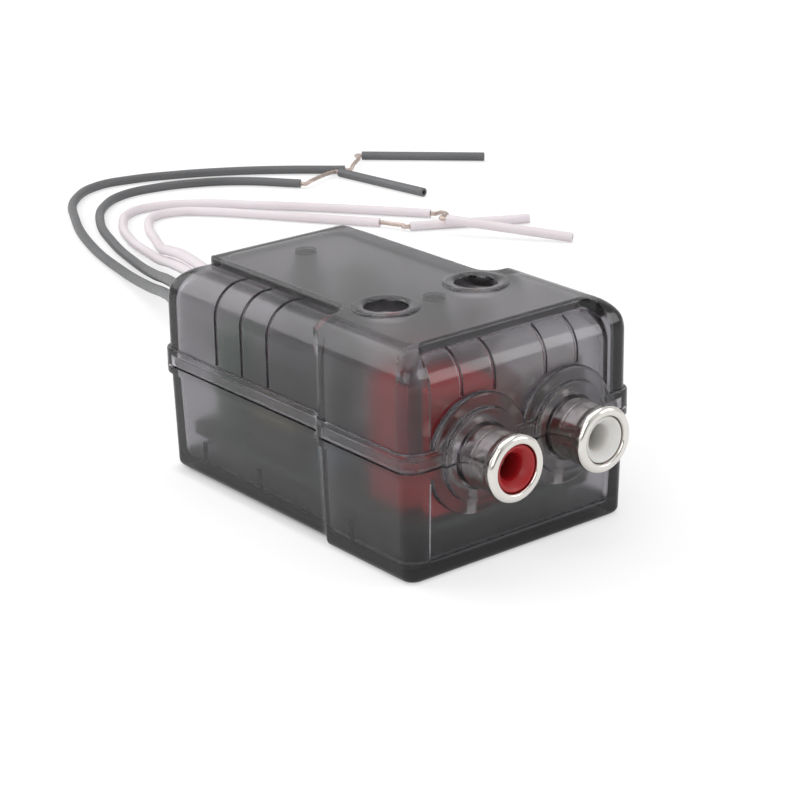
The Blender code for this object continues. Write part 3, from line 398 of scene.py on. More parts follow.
def spun(name, section, place=(0, 0, 0), axis="Z", steps=64, closed=False):
    """Spins a section of (radius, distance along the axis) points. Axis F points forward, to -Y."""
    points = [(radius, 0, along) for radius, along in section]
    edges = [(k, k + 1) for k in range(len(points) - 1)]
    if closed:
        edges.append((len(points) - 1, 0))
    made = mesh_object(name, points, edges)
    edit(made)
    bpy.ops.mesh.spin(steps=steps, angle=math.tau, center=(0, 0, 0), axis=(0, 0, 1))
    bpy.ops.mesh.select_all(action="SELECT")
    bpy.ops.mesh.remove_doubles(threshold=MERGED)
    bpy.ops.mesh.normals_make_consistent(inside=False)
    leave()
    made.rotation_euler = {"Z": (0, 0, 0), "F": (math.radians(90), 0, 0)}[axis]
    made.location = place
    settle(made)
    return made


# %% Dress a finished piece
def belongs(piece, finish, body="case", instead_of=()):
    """Dresses a finished piece, lets it ride on its body and hides the CAD nodes that it stands for."""
    wear(piece, finish)
    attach(piece, body)
    if instead_of:
        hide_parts(*instead_of)
    print(piece.name, len(piece.data.vertices) if piece.type == "MESH" else "curve")


# %% [markdown]
# ## The four leads
# Two grey and two white leads leave the rear wall, droop to the table and curl round. Each is a
# Bezier curve with a round section through points read from the photograph. The installer's end
# is bare: a few strands run into a short slug of insulation that is pulled off when it is wired.

# %% Set out the routes, in millimetres
LEAD_RADIUS = 0.85 * MM
PARTING_Z = 15.0
PAD_Y, PAD_TOP_Z = 21.6, 6.8
BEND_LENGTH, BEND_DROP = 2.9, 0.3
IN_WALL_Y, EXIT_Y, CLEAR_Y = 25.15, 27.25, 28.25
LEAD_EXIT_X = {"grey_outer": -5.25, "grey_inner": -1.75, "white_outer": 1.75, "white_inner": 5.25}
ROUTES = {
    "grey_outer": [(-5.2, 31.0, 15.0), (-3.4, 38.7, 14.4), (-0.2, 48.1, 12.9), (5.4, 58.6, 11.2), (12.4, 71.9, 7.6),
                   (18.9, 86.5, 3.8), (24.1, 101.9, 1.5), (29.2, 120.3, 0.95), (36.2, 137.2, 0.95),
                   (44.0, 149.5, 0.95), (52.2, 154.6, 0.95), (59.7, 154.1, 0.95), (67.7, 151.3, 0.95),
                   (76.2, 146.9, 0.95), (84.7, 141.0, 0.95), (95.1, 131.8, 0.95)],
    "grey_inner": [(-1.7, 31.0, 15.0), (0.4, 39.3, 14.6), (4.1, 49.7, 13.4), (8.9, 61.8, 11.6), (15.6, 75.6, 8.2),
                   (22.4, 90.1, 4.3), (28.2, 104.4, 1.7), (33.1, 119.3, 0.95), (38.7, 132.6, 0.95),
                   (45.7, 141.8, 0.95), (52.5, 145.7, 0.95), (59.6, 145.8, 0.95), (67.2, 143.5, 0.95),
                   (74.9, 138.5, 0.95), (82.3, 129.4, 0.95)],
    "white_outer": [(1.9, 31.0, 15.0), (4.2, 40.3, 14.6), (8.0, 51.8, 13.9), (12.7, 65.5, 12.6), (19.3, 79.9, 9.2),
                   (26.5, 94.2, 5.0), (32.8, 107.5, 1.9), (36.5, 118.8, 0.95), (41.0, 128.5, 0.95),
                   (46.6, 134.3, 0.95), (52.5, 134.7, 0.95), (59.3, 130.9, 0.95), (66.8, 122.7, 0.95),
                   (76.1, 111.5, 0.95), (87.5, 96.3, 0.95)],
    "white_inner": [(5.4, 31.0, 15.0), (7.6, 41.3, 14.8), (10.8, 53.9, 14.4), (14.8, 68.2, 13.7), (20.8, 82.4, 10.4),
                   (28.1, 95.2, 6.2), (34.8, 106.5, 2.6), (40.0, 116.3, 1.0), (43.8, 124.2, 0.95),
                   (48.3, 129.0, 0.95), (53.2, 128.8, 0.95), (57.7, 124.9, 0.95), (62.9, 118.0, 0.95),
                   (69.1, 108.8, 0.95), (76.8, 97.9, 0.95)],
}
STRANDS = {
    "grey_outer": [(97.7, 132.5, 1.3), (101.5, 135.5, 1.5)],
    "grey_inner": [(84.6, 128.9, 1.2), (89.0, 130.6, 1.2)],
    "white_outer": [(87.0, 92.6, 2.0), (84.9, 88.5, 2.9)],
    "white_inner": [(77.8, 95.8, 0.95), (78.8, 93.6, 0.95)],
}
SLUGS = {
    "grey_outer": [(104.4, 138.2, 0.95), (122.1, 120.9, 0.95)],
    "grey_inner": [(93.0, 130.7, 0.95), (95.9, 108.3, 0.95)],
    "white_outer": [(82.8, 86.0, 2.95), (96.3, 67.3, 0.95)],
    "white_inner": [(79.3, 92.2, 0.95), (98.8, 81.6, 0.95)],
}
print("leads:", ", ".join(ROUTES))

# %% Mix the finishes of the leads
def insulation(name, colour, shade):
    """Soft PVC: a satin skin with faint handling marks and slow unevenness along it."""
    finish = Finish(name, Subsurface_Weight=0.08, Subsurface_Scale=0.001)
    marks = finish.noise(900.0, 4.0)
    slow = finish.noise(60.0, 2.0)
    colours = finish.blend(slow.between(0.3, 0.7), colour, shade)
    return finish.feed(Base_Color=colours, Roughness=0.32 + marks * 0.22, Normal=finish.bump(marks, 0.00004, 0.5))


grey_pvc = insulation("grey_pvc", (0.1, 0.102, 0.105), (0.135, 0.136, 0.142))
white_pvc = insulation("white_pvc", (0.72, 0.65, 0.68), (0.79, 0.73, 0.76))
strand_copper = Finish("strand_copper", Metallic=1.0)
oxide = strand_copper.noise(1500.0)
strand_copper.feed(Base_Color=strand_copper.blend(oxide, (0.5, 0.38, 0.33), (0.68, 0.6, 0.56)),
                   Roughness=0.25 + oxide * 0.25)
print("leads: grey and white PVC over copper")

# %% Trace a lead
def curve_through(name, points, radius):
    """A Bezier curve with a round section that passes through every point."""
    curve = bpy.data.curves.new(name, "CURVE")
    curve.dimensions = "3D"
    curve.bevel_depth = radius
    curve.bevel_resolution = 4
    curve.use_fill_caps = True
    curve.resolution_u = 10
    line = curve.splines.new("BEZIER")
    line.bezier_points.add(len(points) - 1)
    for knot, point in zip(line.bezier_points, points):
        knot.co = point
        knot.handle_left_type = knot.handle_right_type = "AUTO"
    return in_scene(name, curve)


def metres(points):
    return [Vector(point) * MM for point in points]


def lead_start(name):
    """From the pad on the board up to the notch in the rear wall."""
    x = LEAD_EXIT_X[name]
    rise = PARTING_Z - PAD_TOP_Z
    upright = [(x, PAD_Y + dy, PAD_TOP_Z + rise * part) for dy, part in ((0, 0), (0.1, 0.4), (1.0, 0.78))]
    level = [(x, PAD_Y + BEND_LENGTH, PARTING_Z - BEND_DROP), (x, IN_WALL_Y, PARTING_Z), (x, CLEAR_Y, PARTING_Z)]
    return upright + level


# %% Cut a slug of insulation
def slug_of(name, ends):
    """A cut length of insulation: a tube with a bore, drawn along a straight line."""
    start, end = metres(ends)
    length = (end - start).length
    outer, bore = LEAD_RADIUS, LEAD_RADIUS * 0.52
    edge, deep = 0.07 * MM, 2.5 * MM
    outside = [(bore, 0), (outer - edge, 0), (outer, edge), (outer, length - edge), (outer - edge, length)]
    bores = [(bore, length), (bore, length - deep), (0, length - deep), (0, deep), (bore, deep)]
    made = spun(name, outside + bores, steps=28, closed=True)
    made.rotation_euler = (end - start).to_track_quat("Z", "Y").to_euler()
    made.location = start
    settle(made)
    tidy(made, 40)
    return made


# %% Lay the strands
STRANDS_ROUND = 6
STRAND_RADIUS, STRAND_REACH = 0.14 * MM, 0.27 * MM
TWIST = 0.35


def strands_of(name, path):
    """Fine wires laid round one in the middle, along the path."""
    curve = bpy.data.curves.new(name, "CURVE")
    curve.dimensions = "3D"
    curve.bevel_depth = STRAND_RADIUS
    curve.bevel_resolution = 2
    curve.use_fill_caps = True
    for wire in range(STRANDS_ROUND + 1):
        line = curve.splines.new("POLY")
        line.points.add(len(path) - 1)
        for k, (point, place) in enumerate(zip(line.points, path)):
            ahead = (path[min(k + 1, len(path) - 1)] - path[max(k - 1, 0)]).normalized()
            side = ahead.cross(Vector((0, 0, 1))).normalized()
            lift = side.cross(ahead)
            turn = wire * math.tau / STRANDS_ROUND + k * TWIST
            reach = 0 if wire == STRANDS_ROUND else STRAND_REACH
            point.co = (*(place + side * math.cos(turn) * reach + lift * math.sin(turn) * reach), 1)
    only(in_scene(name, curve))
    bpy.ops.object.convert(target="MESH")
    return bpy.context.object


def even_path(points, count):
    """Points along a smooth line through the given ones."""
    knots = [points[0] * 2 - points[1], *points, points[-1] * 2 - points[-2]]
    path = []
    for a, b, c, d in zip(knots, knots[1:], knots[2:], knots[3:]):
        for step in range(count):
            t = step / count
            square, cube = 2 * a - 5 * b + 4 * c - d, 3 * b - a - 3 * c + d
            path.append(0.5 * (2 * b + (c - a) * t + square * t**2 + cube * t**3))
    return path + [points[-1]]


# %% Draw the leads
INSULATION = {"grey": (grey_pvc, "grey_insulation"), "white": (white_pvc, "white_insulation")}
CUT_GAP, STRAIGHT, IN_SLUG = 0.06 * MM, 1.1 * MM, 2.0 * MM

for name, points in ROUTES.items():
    finish, slot = INSULATION[name.split("_")[0]]
    route = metres(lead_start(name) + points)
    lead = curve_through(name + "_insulation", route, LEAD_RADIUS)
    slug = slug_of(name + "_cut_insulation", SLUGS[name])
    start, end = metres(SLUGS[name])
    out = (route[-1] - route[-2]).normalized()
    into = (start - end).normalized()
    path = [route[-1] + out * CUT_GAP, route[-1] + out * STRAIGHT, *metres(STRANDS[name]),
            start + into * STRAIGHT, start - into * IN_SLUG]
    wires = strands_of(name + "_wires", even_path(path, 8))
    belongs(lead, finish, "case", [name + "_lead"])
    belongs(wires, strand_copper, "case", [name + "_strands"])
    belongs(slug, finish, "case", [name + "_slug"])

# %% [markdown]
# ## The smoked plastic of the case
# The case is moulded in a see-through grey plastic. The mould is polished outside, which gives a
# high gloss, and matt inside, which blurs what stands behind a wall. So one material has a low
# roughness on outer faces and a high one on the faces that an attribute marks as inner ones. The
# walls look darker where they are seen edge on, because a volume absorbs light along its way.

# %% Mix the smoked plastic
# Over each case screw's boss the top gets a dark round patch, a painted shade for the boss seen through it
SCREW_YS = (-9.95 * MM, 17.0 * MM)
BOSS_SHADE_RADII = (1.35 * MM, 1.6 * MM)
TOP_HEIGHTS = (28.8 * MM, 29.2 * MM)
# Below these heights the tray's foot is painted darker, a painted shade along the bottom of the case
SHADED_FOOT_HEIGHTS = (2.1 * MM, 2.7 * MM)
CLEAR, PALE = (0.86, 0.85, 0.87), (0.93, 0.92, 0.94)
# Painted shade colours: one for the patches over the bosses, one for the tray's foot
PAINTED_BOSS_SHADE, PAINTED_FOOT_SHADE = (0.1, 0.1, 0.11), (0.06, 0.06, 0.065)
POLISHED, UNEVEN, MATT = 0.08, 0.08, 0.24
ABSORBED, DENSITY = (0.3, 0.28, 0.31, 1), 400

smoke = Finish("smoked_plastic", IOR=1.49, Transmission_Weight=1.0)
inner_side = smoke.attribute("inside")
haze = smoke.noise(140.0, 2.0)
fine = smoke.noise(2600.0, 3.0)
x, y, z = (smoke.axis(letter) for letter in "XYZ")
# marks is a painted shade: a dark disc on the top over each boss
marks = 0.0
for shaded_boss_y in SCREW_YS:
    from_axis = (x * x + (y - shaded_boss_y) * (y - shaded_boss_y)) ** 0.5
    marks = marks + (1 - from_axis.between(*BOSS_SHADE_RADII)) * z.between(*TOP_HEIGHTS)
# A painted shade: foot masks the tray's foot, which gets a darker colour
foot = 1 - z.between(*SHADED_FOOT_HEIGHTS)
skin = smoke.blend(marks, smoke.blend(haze, CLEAR, PALE), PAINTED_BOSS_SHADE)
smoke.feed(Base_Color=smoke.blend(foot, skin, PAINTED_FOOT_SHADE),
           Roughness=POLISHED + haze * UNEVEN + inner_side * MATT,
           Normal=smoke.bump(fine, 0.000004, 0.3))
absorb = smoke.node("ShaderNodeVolumeAbsorption", {}, {"Color": ABSORBED, "Density": DENSITY})
smoke.tree.links.new(absorb.socket, smoke.tree.nodes["Material Output"].inputs["Volume"])
print("smoked plastic mixed")

# %% [markdown]
# ## The form of the case
# Seen from above the case is a rounded rectangle that is wider over the jacks. Each half is
# lofted through that outline at several heights, with a draft on the tray and a rounded shoulder
# on the cover, and then the mouldings are joined to it and the openings are cut.

# %% Set out the case
HALF_WIDTH = 18.25 * MM
HALF_LENGTH = 26.75 * MM
CORNER, LEAST_CORNER = 2.0 * MM, 1.5 * MM
CASE_TOP = 29.5 * MM
PARTING = PARTING_Z * MM
SEAM = 0.15 * MM
WALL = 1.6 * MM
FLANGE = 0.5 * MM
COVER_FLANGE, TRAY_FLANGE = 2.2 * MM, 1.1 * MM
SHOULDER = 4.4 * MM
DRAFT = 0.03
# The sides step in behind the jacks, over this length
REAR_STEP = 1.3 * MM
STEP_FRONT_Y = -9.8 * MM
STEP_LENGTH = 2.9 * MM
STEP_ANGLE = 2 * math.atan(REAR_STEP / STEP_LENGTH)
STEP_RADIUS = STEP_LENGTH / (2 * math.sin(STEP_ANGLE))
STEP_TIGHT = 0.8 * MM
# The top panel stands above the flanks and the front wall stands behind the corners
PANEL_RISE = 1.1 * MM
PANEL_HALF = 11.5 * MM
PANEL_REAR_Y = 24.9 * MM
PANEL_EDGE = 0.5 * MM
RECESS = 0.5 * MM
RECESS_HALF = 14.7 * MM
RECESS_REAR_Y = -23.1 * MM
JACK_X = 7.2 * MM
COLLAR = 7.8 * MM
GAIN_X, GAIN_Y = 7.4 * MM, -9.4 * MM
# Tool bodies reach well past the case
FAR = 60 * MM


def arc(x, y, radius, start, end, steps):
    """Points on an arc round (x, y), from one angle to another in degrees."""
    angles = [math.radians(start + (end - start) * k / steps) for k in range(steps + 1)]
    return [(x + radius * math.cos(angle), y + radius * math.sin(angle)) for angle in angles]


def profile(*parts):
    """A section for spun. Each part is where its distances count from, then points in millimetres."""
    return [(radius * MM, start + along * MM) for start, points in parts for radius, along in points]


def step_curve(inset, half_width, steps=10):
    """The S-shaped step on the right side: a tight bend in front and a wide one behind it."""
    turn = math.degrees(STEP_ANGLE)
    tight, wide = STEP_TIGHT, 2 * STEP_RADIUS - STEP_TIGHT
    bent = min(inset, tight - 0.25 * MM)
    half_width -= inset - bent
    front = arc(half_width - tight, STEP_FRONT_Y, tight - bent, 0, turn, steps)
    rear = arc(half_width - REAR_STEP + wide, STEP_FRONT_Y + STEP_LENGTH, wide + bent, 180 + turn, 180, steps)
    return front + rear[1:]


def outline(inset, half_width=HALF_WIDTH, front_y=-HALF_LENGTH, stepped=True, steps=16):
    """The case's outline moved inwards by inset."""
    radius = max(CORNER - inset, LEAST_CORNER)
    rear_half = half_width - (REAR_STEP if stepped else 0)
    side = arc(half_width - inset - radius, front_y + inset + radius, radius, -90, 0, steps)
    if stepped:
        side += step_curve(inset, half_width)
    side += arc(rear_half - inset - radius, HALF_LENGTH - inset - radius, radius, 0, 90, steps)
    return side + [(-x, y) for x, y in reversed(side)]


def loft(name, levels, **shape):
    """A solid through the outline at several heights: levels are (z, inset) from the bottom up."""
    rings = [[(x, y, z) for x, y in outline(inset, **shape)] for z, inset in levels]
    n = len(rings[0])
    faces = [tuple(range(n))[::-1], tuple(range((len(rings) - 1) * n, len(rings) * n))]
    for row in range(len(rings) - 1):
        for k in range(n):
            m = (k + 1) % n
            faces.append((row * n + k, row * n + m, (row + 1) * n + m, (row + 1) * n + k))
    return mesh_object(name, [point for ring in rings for point in ring], (), faces)


def shoulder(top, radius, inset, steps=14):
    """Levels up over a rounded shoulder."""
    turns = [math.radians(90 * k / steps) for k in range(steps + 1)]
    return [(top - radius * (1 - math.sin(turn)), inset + radius * (1 - math.cos(turn))) for turn in turns]


print("case", [round(size / MM, 2) for size in (2 * HALF_WIDTH, 2 * HALF_LENGTH, CASE_TOP)], "mm over its walls")

# %% [markdown]
# The cover is higher in the middle than at its flanks and in front, and the high part's plan is
# a T. It could be one block with its sides pushed down by hand. Here two lofts are joined, a low
# one all round and a high one cut to the T. The same two, moved in by the wall, make the hollow,
# so that the wall is as thick in one place as in another.

# %% Shape the cover's outer and inner forms
LOWER = {"half_width": HALF_WIDTH - REAR_STEP, "front_y": -HALF_LENGTH + RECESS, "stepped": False}


def raised_plan(inset):
    """Half of the T-shaped plan inside which the cover has its full height and width."""
    beyond = 40 * MM
    panel, panel_rear = PANEL_HALF - inset, PANEL_REAR_Y - inset
    shelf_y = STEP_FRONT_Y + STEP_LENGTH - inset
    recess, recess_y = RECESS_HALF + inset, RECESS_REAR_Y + inset
    soft, corner, rear_corner = 2.4 * MM, 2.6 * MM, 3.0 * MM
    side = arc(recess - soft, recess_y - soft, soft, 90, 0, 8)
    side += [(recess, -beyond), (beyond, -beyond), (beyond, STEP_FRONT_Y - inset)]
    # Stretched a little from its middle, so that it crosses the body's wall and doesn't lie in it
    middle, stretch = HALF_WIDTH - REAR_STEP / 2 - inset, 1.04
    step = [(x, y) for x, y in step_curve(inset, HALF_WIDTH) if y < shelf_y + 0.01 * MM]
    side += [(middle + (x - middle) * stretch, y) for x, y in step]
    side += arc(panel + corner, shelf_y + corner, corner, -90, -180, 12)
    return side + arc(panel - rear_corner, panel_rear - rear_corner, rear_corner, 0, 90, 10)


def cover_levels(top, inset):
    """Up from below the parting line and over the shoulder. The hollow starts lower than the cover."""
    low = PARTING - (2 * MM if inset == 0 else 4 * MM)
    return [(low, inset), *shoulder(top, SHOULDER - inset, inset)]


def raised_form(name, inset):
    """The form at full height, cut to the T-shaped plan, whose upper edge is rounded outside."""
    top = CASE_TOP - inset
    levels = cover_levels(top + 0.01 * MM, inset)
    low = levels[0][0]
    body = loft(name, levels, stepped=False)
    side = raised_plan(inset)
    points = side + [(-x, y) for x, y in reversed(side)]
    plan = mesh_object("plan", [(x, y, low - MM) for x, y in points], (), [tuple(range(len(points)))])
    edit(plan)
    bpy.ops.mesh.extrude_region_move(TRANSFORM_OT_translate={"value": (0, 0, top - low + MM)})
    bpy.ops.mesh.select_all(action="SELECT")
    bpy.ops.mesh.normals_make_consistent(inside=False)
    leave()
    if inset == 0:
        edit_edges_above(plan, top - MERGED)
        bpy.ops.mesh.bevel(offset=PANEL_EDGE, segments=4, affect="EDGES")
        leave()
    combine(body, plan, "INTERSECT")
    return body


def cover_form(name, inset):
    """The form with lower flanks, joined to the raised form."""
    body = loft(name, cover_levels(CASE_TOP - PANEL_RISE - inset, inset), **LOWER)
    combine(body, raised_form("raised", inset), "UNION")
    return body


def collar(side):
    """The stepped round moulding that stands out of the front wall round a jack."""
    seat = 0.96 * MM
    disc, top = seat + 0.85 * MM, seat + 1.55 * MM
    points = profile((top, [(0, -0.15), (5.3, -0.15), (5.6, -0.04), (5.75, 0), *arc(5.8, -0.25, 0.25, 90, 0, 5)]),
                     (disc, [(6.05, 0.25), (6.13, 0.07), (6.3, 0), (7.3, 0), *arc(7.3, -0.5, 0.5, 75, 0, 5)]))
    points += [(COLLAR, 0), (0, 0)]
    return spun("collar", points, (side * JACK_X, -HALF_LENGTH + RECESS + seat, PARTING), "F", steps=96)


def mark_inside(piece, towards):
    """Marks the faces that look across the case at its other walls, or up or down into it."""
    lift, across_at_least = 0.05 * MM, 3 * MM
    slope, from_parting = 0.3, 2.5 * MM
    marks = piece.data.attributes.new("inside", "FLOAT", "FACE")
    for face, mark in zip(piece.data.polygons, marks.data):
        start = face.center + face.normal * lift
        hit, place, *_ = piece.ray_cast(start, face.normal)
        across = hit and (place - start).length > across_at_least
        into = face.normal.z * towards > slope and abs(face.center.z - PARTING) > from_parting
        mark.value = 1.0 if across or into else 0.0
    print(piece.name, "inner faces:", sum(mark.value > 0 for mark in marks.data), "of", len(marks.data))


# %% [markdown]
# The real cover comes out of its mould with its flange, the upper half of each jack's collar, the
# rings round the adjusters' holes and the bosses for the screws. Here each of them is a body of
# its own that an exact Boolean joins to the cover or cuts out of it, because they meet curved
# walls, where faces made by hand would leave gaps.

# %% Mould the top cover
JACK_BORE = 4.35 * MM
LEAD_PLAY = 0.3 * MM
PILOT, PILOT_TOP = 1.4 * MM, 12.5 * MM
RING = [(0, -0.8), (4.4, -0.8), (4.4, 0.05), (4.3, 0.19), (4.1, 0.28), (3.9, 0.3), (0, 0.3)]
HOLE = [(0, 3), (3.3, 3), (3.3, 0.3), (3.1, 0.22), (2.85, 0.05), (2.75, -0.2), (2.75, -6), (0, -6)]
BOSS = [(0, 0), (2.3, 0), (2.4, 0.1), (2.4, 19), (1.5, 21)]
BOSS_FOOT = 4.6 * MM
BOSS_LENGTH = CASE_TOP - 0.8 * MM - BOSS_FOOT


def cut_common(piece):
    """Openings that both halves share: the jack bores and the notches for the leads."""
    for side in (-1, 1):
        combine(piece, rod("bore", JACK_BORE, (side * JACK_X, -36 * MM, PARTING), 12 * MM, "Y", 72))
    for x in LEAD_EXIT_X.values():
        combine(piece, rod("notch", LEAD_RADIUS + LEAD_PLAY, (x * MM, 22 * MM, PARTING), 8 * MM, "Y", 32))


def flange(low, high, soft=0.25 * MM):
    """Levels of the proud rim along the parting line, with its far edge softened."""
    return [(low, -FLANGE), (high - soft, -FLANGE), (high - soft * 0.3, -FLANGE + soft * 0.3), (high, -FLANGE + soft)]


cover = cover_form("smoked_cover", 0)
low = PARTING + SEAM
combine(cover, loft("band", flange(low - MM, low + COVER_FLANGE)), "UNION")
for side in (-1, 1):
    combine(cover, collar(side), "UNION")
    combine(cover, spun("ring", profile((0, RING)), (side * GAIN_X, GAIN_Y, CASE_TOP), steps=72), "UNION")
combine(cover, cover_form("hollow", WALL))
combine(cover, block("below", (-FAR, -FAR, -FAR / 2), (FAR, FAR, low)))
for y in SCREW_YS:
    boss = profile((0, BOSS), (BOSS_LENGTH, [(1.5, 0), (0, 0)]))
    combine(cover, spun("boss", boss, (0, y, BOSS_FOOT), steps=48), "UNION")
    combine(cover, rod("pilot", PILOT, (0, y, 0), PILOT_TOP))
for side in (-1, 1):
    combine(cover, spun("hole", profile((0, HOLE)), (side * GAIN_X, GAIN_Y, CASE_TOP), steps=72))
print("cover moulded:", len(cover.data.polygons), "faces")

# %% [markdown]
# Thin grooves run over the shoulders and down the front wall, all at one depth. A straight slab
# would cut deeper where the wall curves away, so each slab first loses all that lies under a
# slightly smaller cover, and what is left of it is the groove.

# %% Cut the grooves in the cover
HALF_GROOVE = 0.25 * MM
GROOVE_DEPTH = 0.35 * MM
GROOVE_YS = (3.1 * MM, 8.8 * MM, 14.5 * MM)
GROOVE_XS = (-9.4 * MM, -4.2 * MM, 4.2 * MM, 9.4 * MM)
GROOVE_FOOT = 2.4 * MM
TONGUE, REBATE, REBATE_TOP = 0.55 * MM, 0.85 * MM, 1.15 * MM

slots = []
for side in (-1, 1):
    for y in GROOVE_YS:
        ends = sorted((side * (PANEL_HALF + 0.06 * MM), side * FAR))
        slots.append([(ends[0], y - HALF_GROOVE, low + GROOVE_FOOT), (ends[1], y + HALF_GROOVE, FAR)])
for x in GROOVE_XS:
    off = abs(abs(x) - JACK_X) - HALF_GROOVE
    above_collar = PARTING + math.sqrt(COLLAR**2 - off**2) + 0.1 * MM
    slots.append([(x - HALF_GROOVE, -FAR, above_collar), (x + HALF_GROOVE, RECESS_REAR_Y - 0.05 * MM, FAR)])
under = [(0, GROOVE_DEPTH),
         *shoulder(CASE_TOP - PANEL_RISE - GROOVE_DEPTH, SHOULDER - GROOVE_DEPTH, GROOVE_DEPTH)]
for slot_low, slot_high in slots:
    slab = block("slab", slot_low, slot_high)
    combine(slab, loft("under", under, **LOWER))
    combine(cover, slab)
combine(cover, loft("rebate", [(0, WALL - REBATE), (PARTING + REBATE_TOP, WALL - REBATE)]))
cut_common(cover)
tidy(cover)
mark_inside(cover, -1)
belongs(cover, smoke, "case", ["top_cover"])

# %% [markdown]
# The tray grows wider from its foot up, as a moulding does so that it leaves its mould. Its lip
# lies under the cover's flange, and a tongue inside it stands in the cover's rebate, which
# closes the seam. It is made like the cover, with posts for the screws and ribs on its floor.

# %% Mould the tray
FOOT_TOP = 2.4 * MM
FLOOR = 1.8 * MM
FOOT_RADIUS = 1 * MM
ROOT_Z = 0.9 * MM
POST, POST_HEIGHT = 3.3 * MM, 3.4 * MM
SCREW_SINK, SINK_DEPTH = 2.4 * MM, 2.2 * MM
RIB_YS = (-14.0 * MM, 7.1 * MM, 19.5 * MM)
RIB_LENGTH, HALF_RIB, RIB_TOP = 4.2 * MM, 0.5 * MM, 5.0 * MM
IN_WALL = 1.25 * MM


def tray_levels(inset, low, above=1 * MM, steps=6):
    """Levels up round the rounded foot, out along the draft and past the parting line."""
    levels = []
    for k in range(steps + 1):
        turn = math.radians(90 * k / steps)
        z = low + FOOT_RADIUS * (1 - math.cos(turn))
        levels.append((z, inset + DRAFT * (PARTING - z) + FOOT_RADIUS * (1 - math.sin(turn))))
    return levels + [(PARTING, inset), (PARTING + above, inset)]


tray = loft("smoked_tray", tray_levels(0, 0))
high = PARTING - SEAM
front = block("front", (-RECESS_HALF, -FAR, FOOT_TOP), (RECESS_HALF, 0, FAR))
combine(front, loft("plane", tray_levels(RECESS, -MM)))
combine(tray, front)
lip = [(2 * high - z, inset) for z, inset in reversed(flange(high - MM, high + TRAY_FLANGE))]
combine(tray, loft("lip", lip), "UNION")
for side in (-1, 1):
    combine(tray, collar(side), "UNION")
combine(tray, block("above", (-FAR, -FAR, high), (FAR, FAR, FAR)))
combine(tray, loft("hollow", tray_levels(WALL, FLOOR, 2 * MM)))
tongue = loft("tongue", [(high - 2 * WALL, WALL - TONGUE), (high + 1 * MM, WALL - TONGUE)])
combine(tongue, loft("inside", [(0, WALL), (CASE_TOP, WALL)]))
combine(tray, tongue, "UNION")
for y in SCREW_YS:
    combine(tray, rod("post", POST, (0, y, ROOT_Z), POST_HEIGHT), "UNION")
for y in RIB_YS:
    wall = HALF_WIDTH - (0 if y < STEP_FRONT_Y else REAR_STEP) - IN_WALL
    for side in (-1, 1):
        ends = sorted((side * wall, side * (wall - RIB_LENGTH)))
        rib = block("rib", (ends[0], y - HALF_RIB, ROOT_Z), (ends[1], y + HALF_RIB, RIB_TOP))
        combine(tray, rib, "UNION")
for y in SCREW_YS:
    combine(tray, rod("screw_hole", PILOT, (0, y, -MM), 8 * MM))
    combine(tray, rod("screw_sink", SCREW_SINK, (0, y, -MM), MM + SINK_DEPTH))
cut_common(tray)
tidy(tray)
mark_inside(tray, 1)
belongs(tray, smoke, "case", ["bottom_tray"])

# %% [markdown]
# ## The phono jacks
# Each jack has a bright nickel shell with a rolled rim, round a coloured insert that holds the
# centre contact. They are turned parts, so each is one profile spun round the jack's axis.

# %% Mix the finishes of the jacks
# Behind this depth a moulding can be painted lighter, a painted light for the part inside the case
PAINTED_LIGHT_Y = (-25 * MM, -24 * MM)

nickel = Finish("nickel_plate", Metallic=1.0)
spots = nickel.noise(700.0, 4.0)
lines = nickel.noise(5000.0, 2.0, (1, 0.05, 1))
nickel.feed(Base_Color=nickel.blend(spots, (0.72, 0.69, 0.64), (0.82, 0.8, 0.77)),
            Roughness=0.08 + spots * 0.1 + lines * 0.05, Normal=nickel.bump(lines, 0.000006, 0.3))


def coloured(name, colour, shade, roughness=0.3, inside=None):
    """Moulded plastic with a faint texture and uneven colour. Where inside is given, the part inside the case is
    painted lighter, a painted light that keeps it bright behind the smoked walls.
    """
    finish = Finish(name, Subsurface_Weight=0.1, Subsurface_Scale=0.0015)
    grain = finish.noise(3000.0, 3.0)
    slow = finish.noise(250.0, 2.0)
    skin = finish.blend(slow, colour, shade)
    if inside:
        # A painted light: the part inside the case gets the lighter colour
        skin = finish.blend(finish.axis("Y").between(*PAINTED_LIGHT_Y), skin, inside)
    return finish.feed(Base_Color=skin, Roughness=roughness + grain * 0.15, Normal=finish.bump(grain, 0.00001, 0.4))


# The lighter red inside the case is a painted light
red = coloured("red_moulding", (0.33, 0.006, 0.01), (0.4, 0.01, 0.014), inside=(0.8, 0.015, 0.02))
white = coloured("white_moulding", (0.72, 0.7, 0.67), (0.8, 0.79, 0.77))
tinned = Finish("tinned_contact", Metallic=1.0, Roughness=0.3, Base_Color=(0.62, 0.6, 0.55, 1))
print("jacks: nickel, red, white and tin")

# %% Set out the jacks
FACE_Y = -34.0 * MM
BLOCK_FRONT_Y, BLOCK_REAR_Y = -23.6 * MM, -13.4 * MM
BLOCK_HALF, BLOCK_TOP, BLOCK_EDGE = 5.3 * MM, 22.6 * MM, 0.6 * MM
BOARD_TOP = 6.5 * MM
STAND = BOARD_TOP + 0.3 * MM
HALF_TAIL = 0.7 * MM
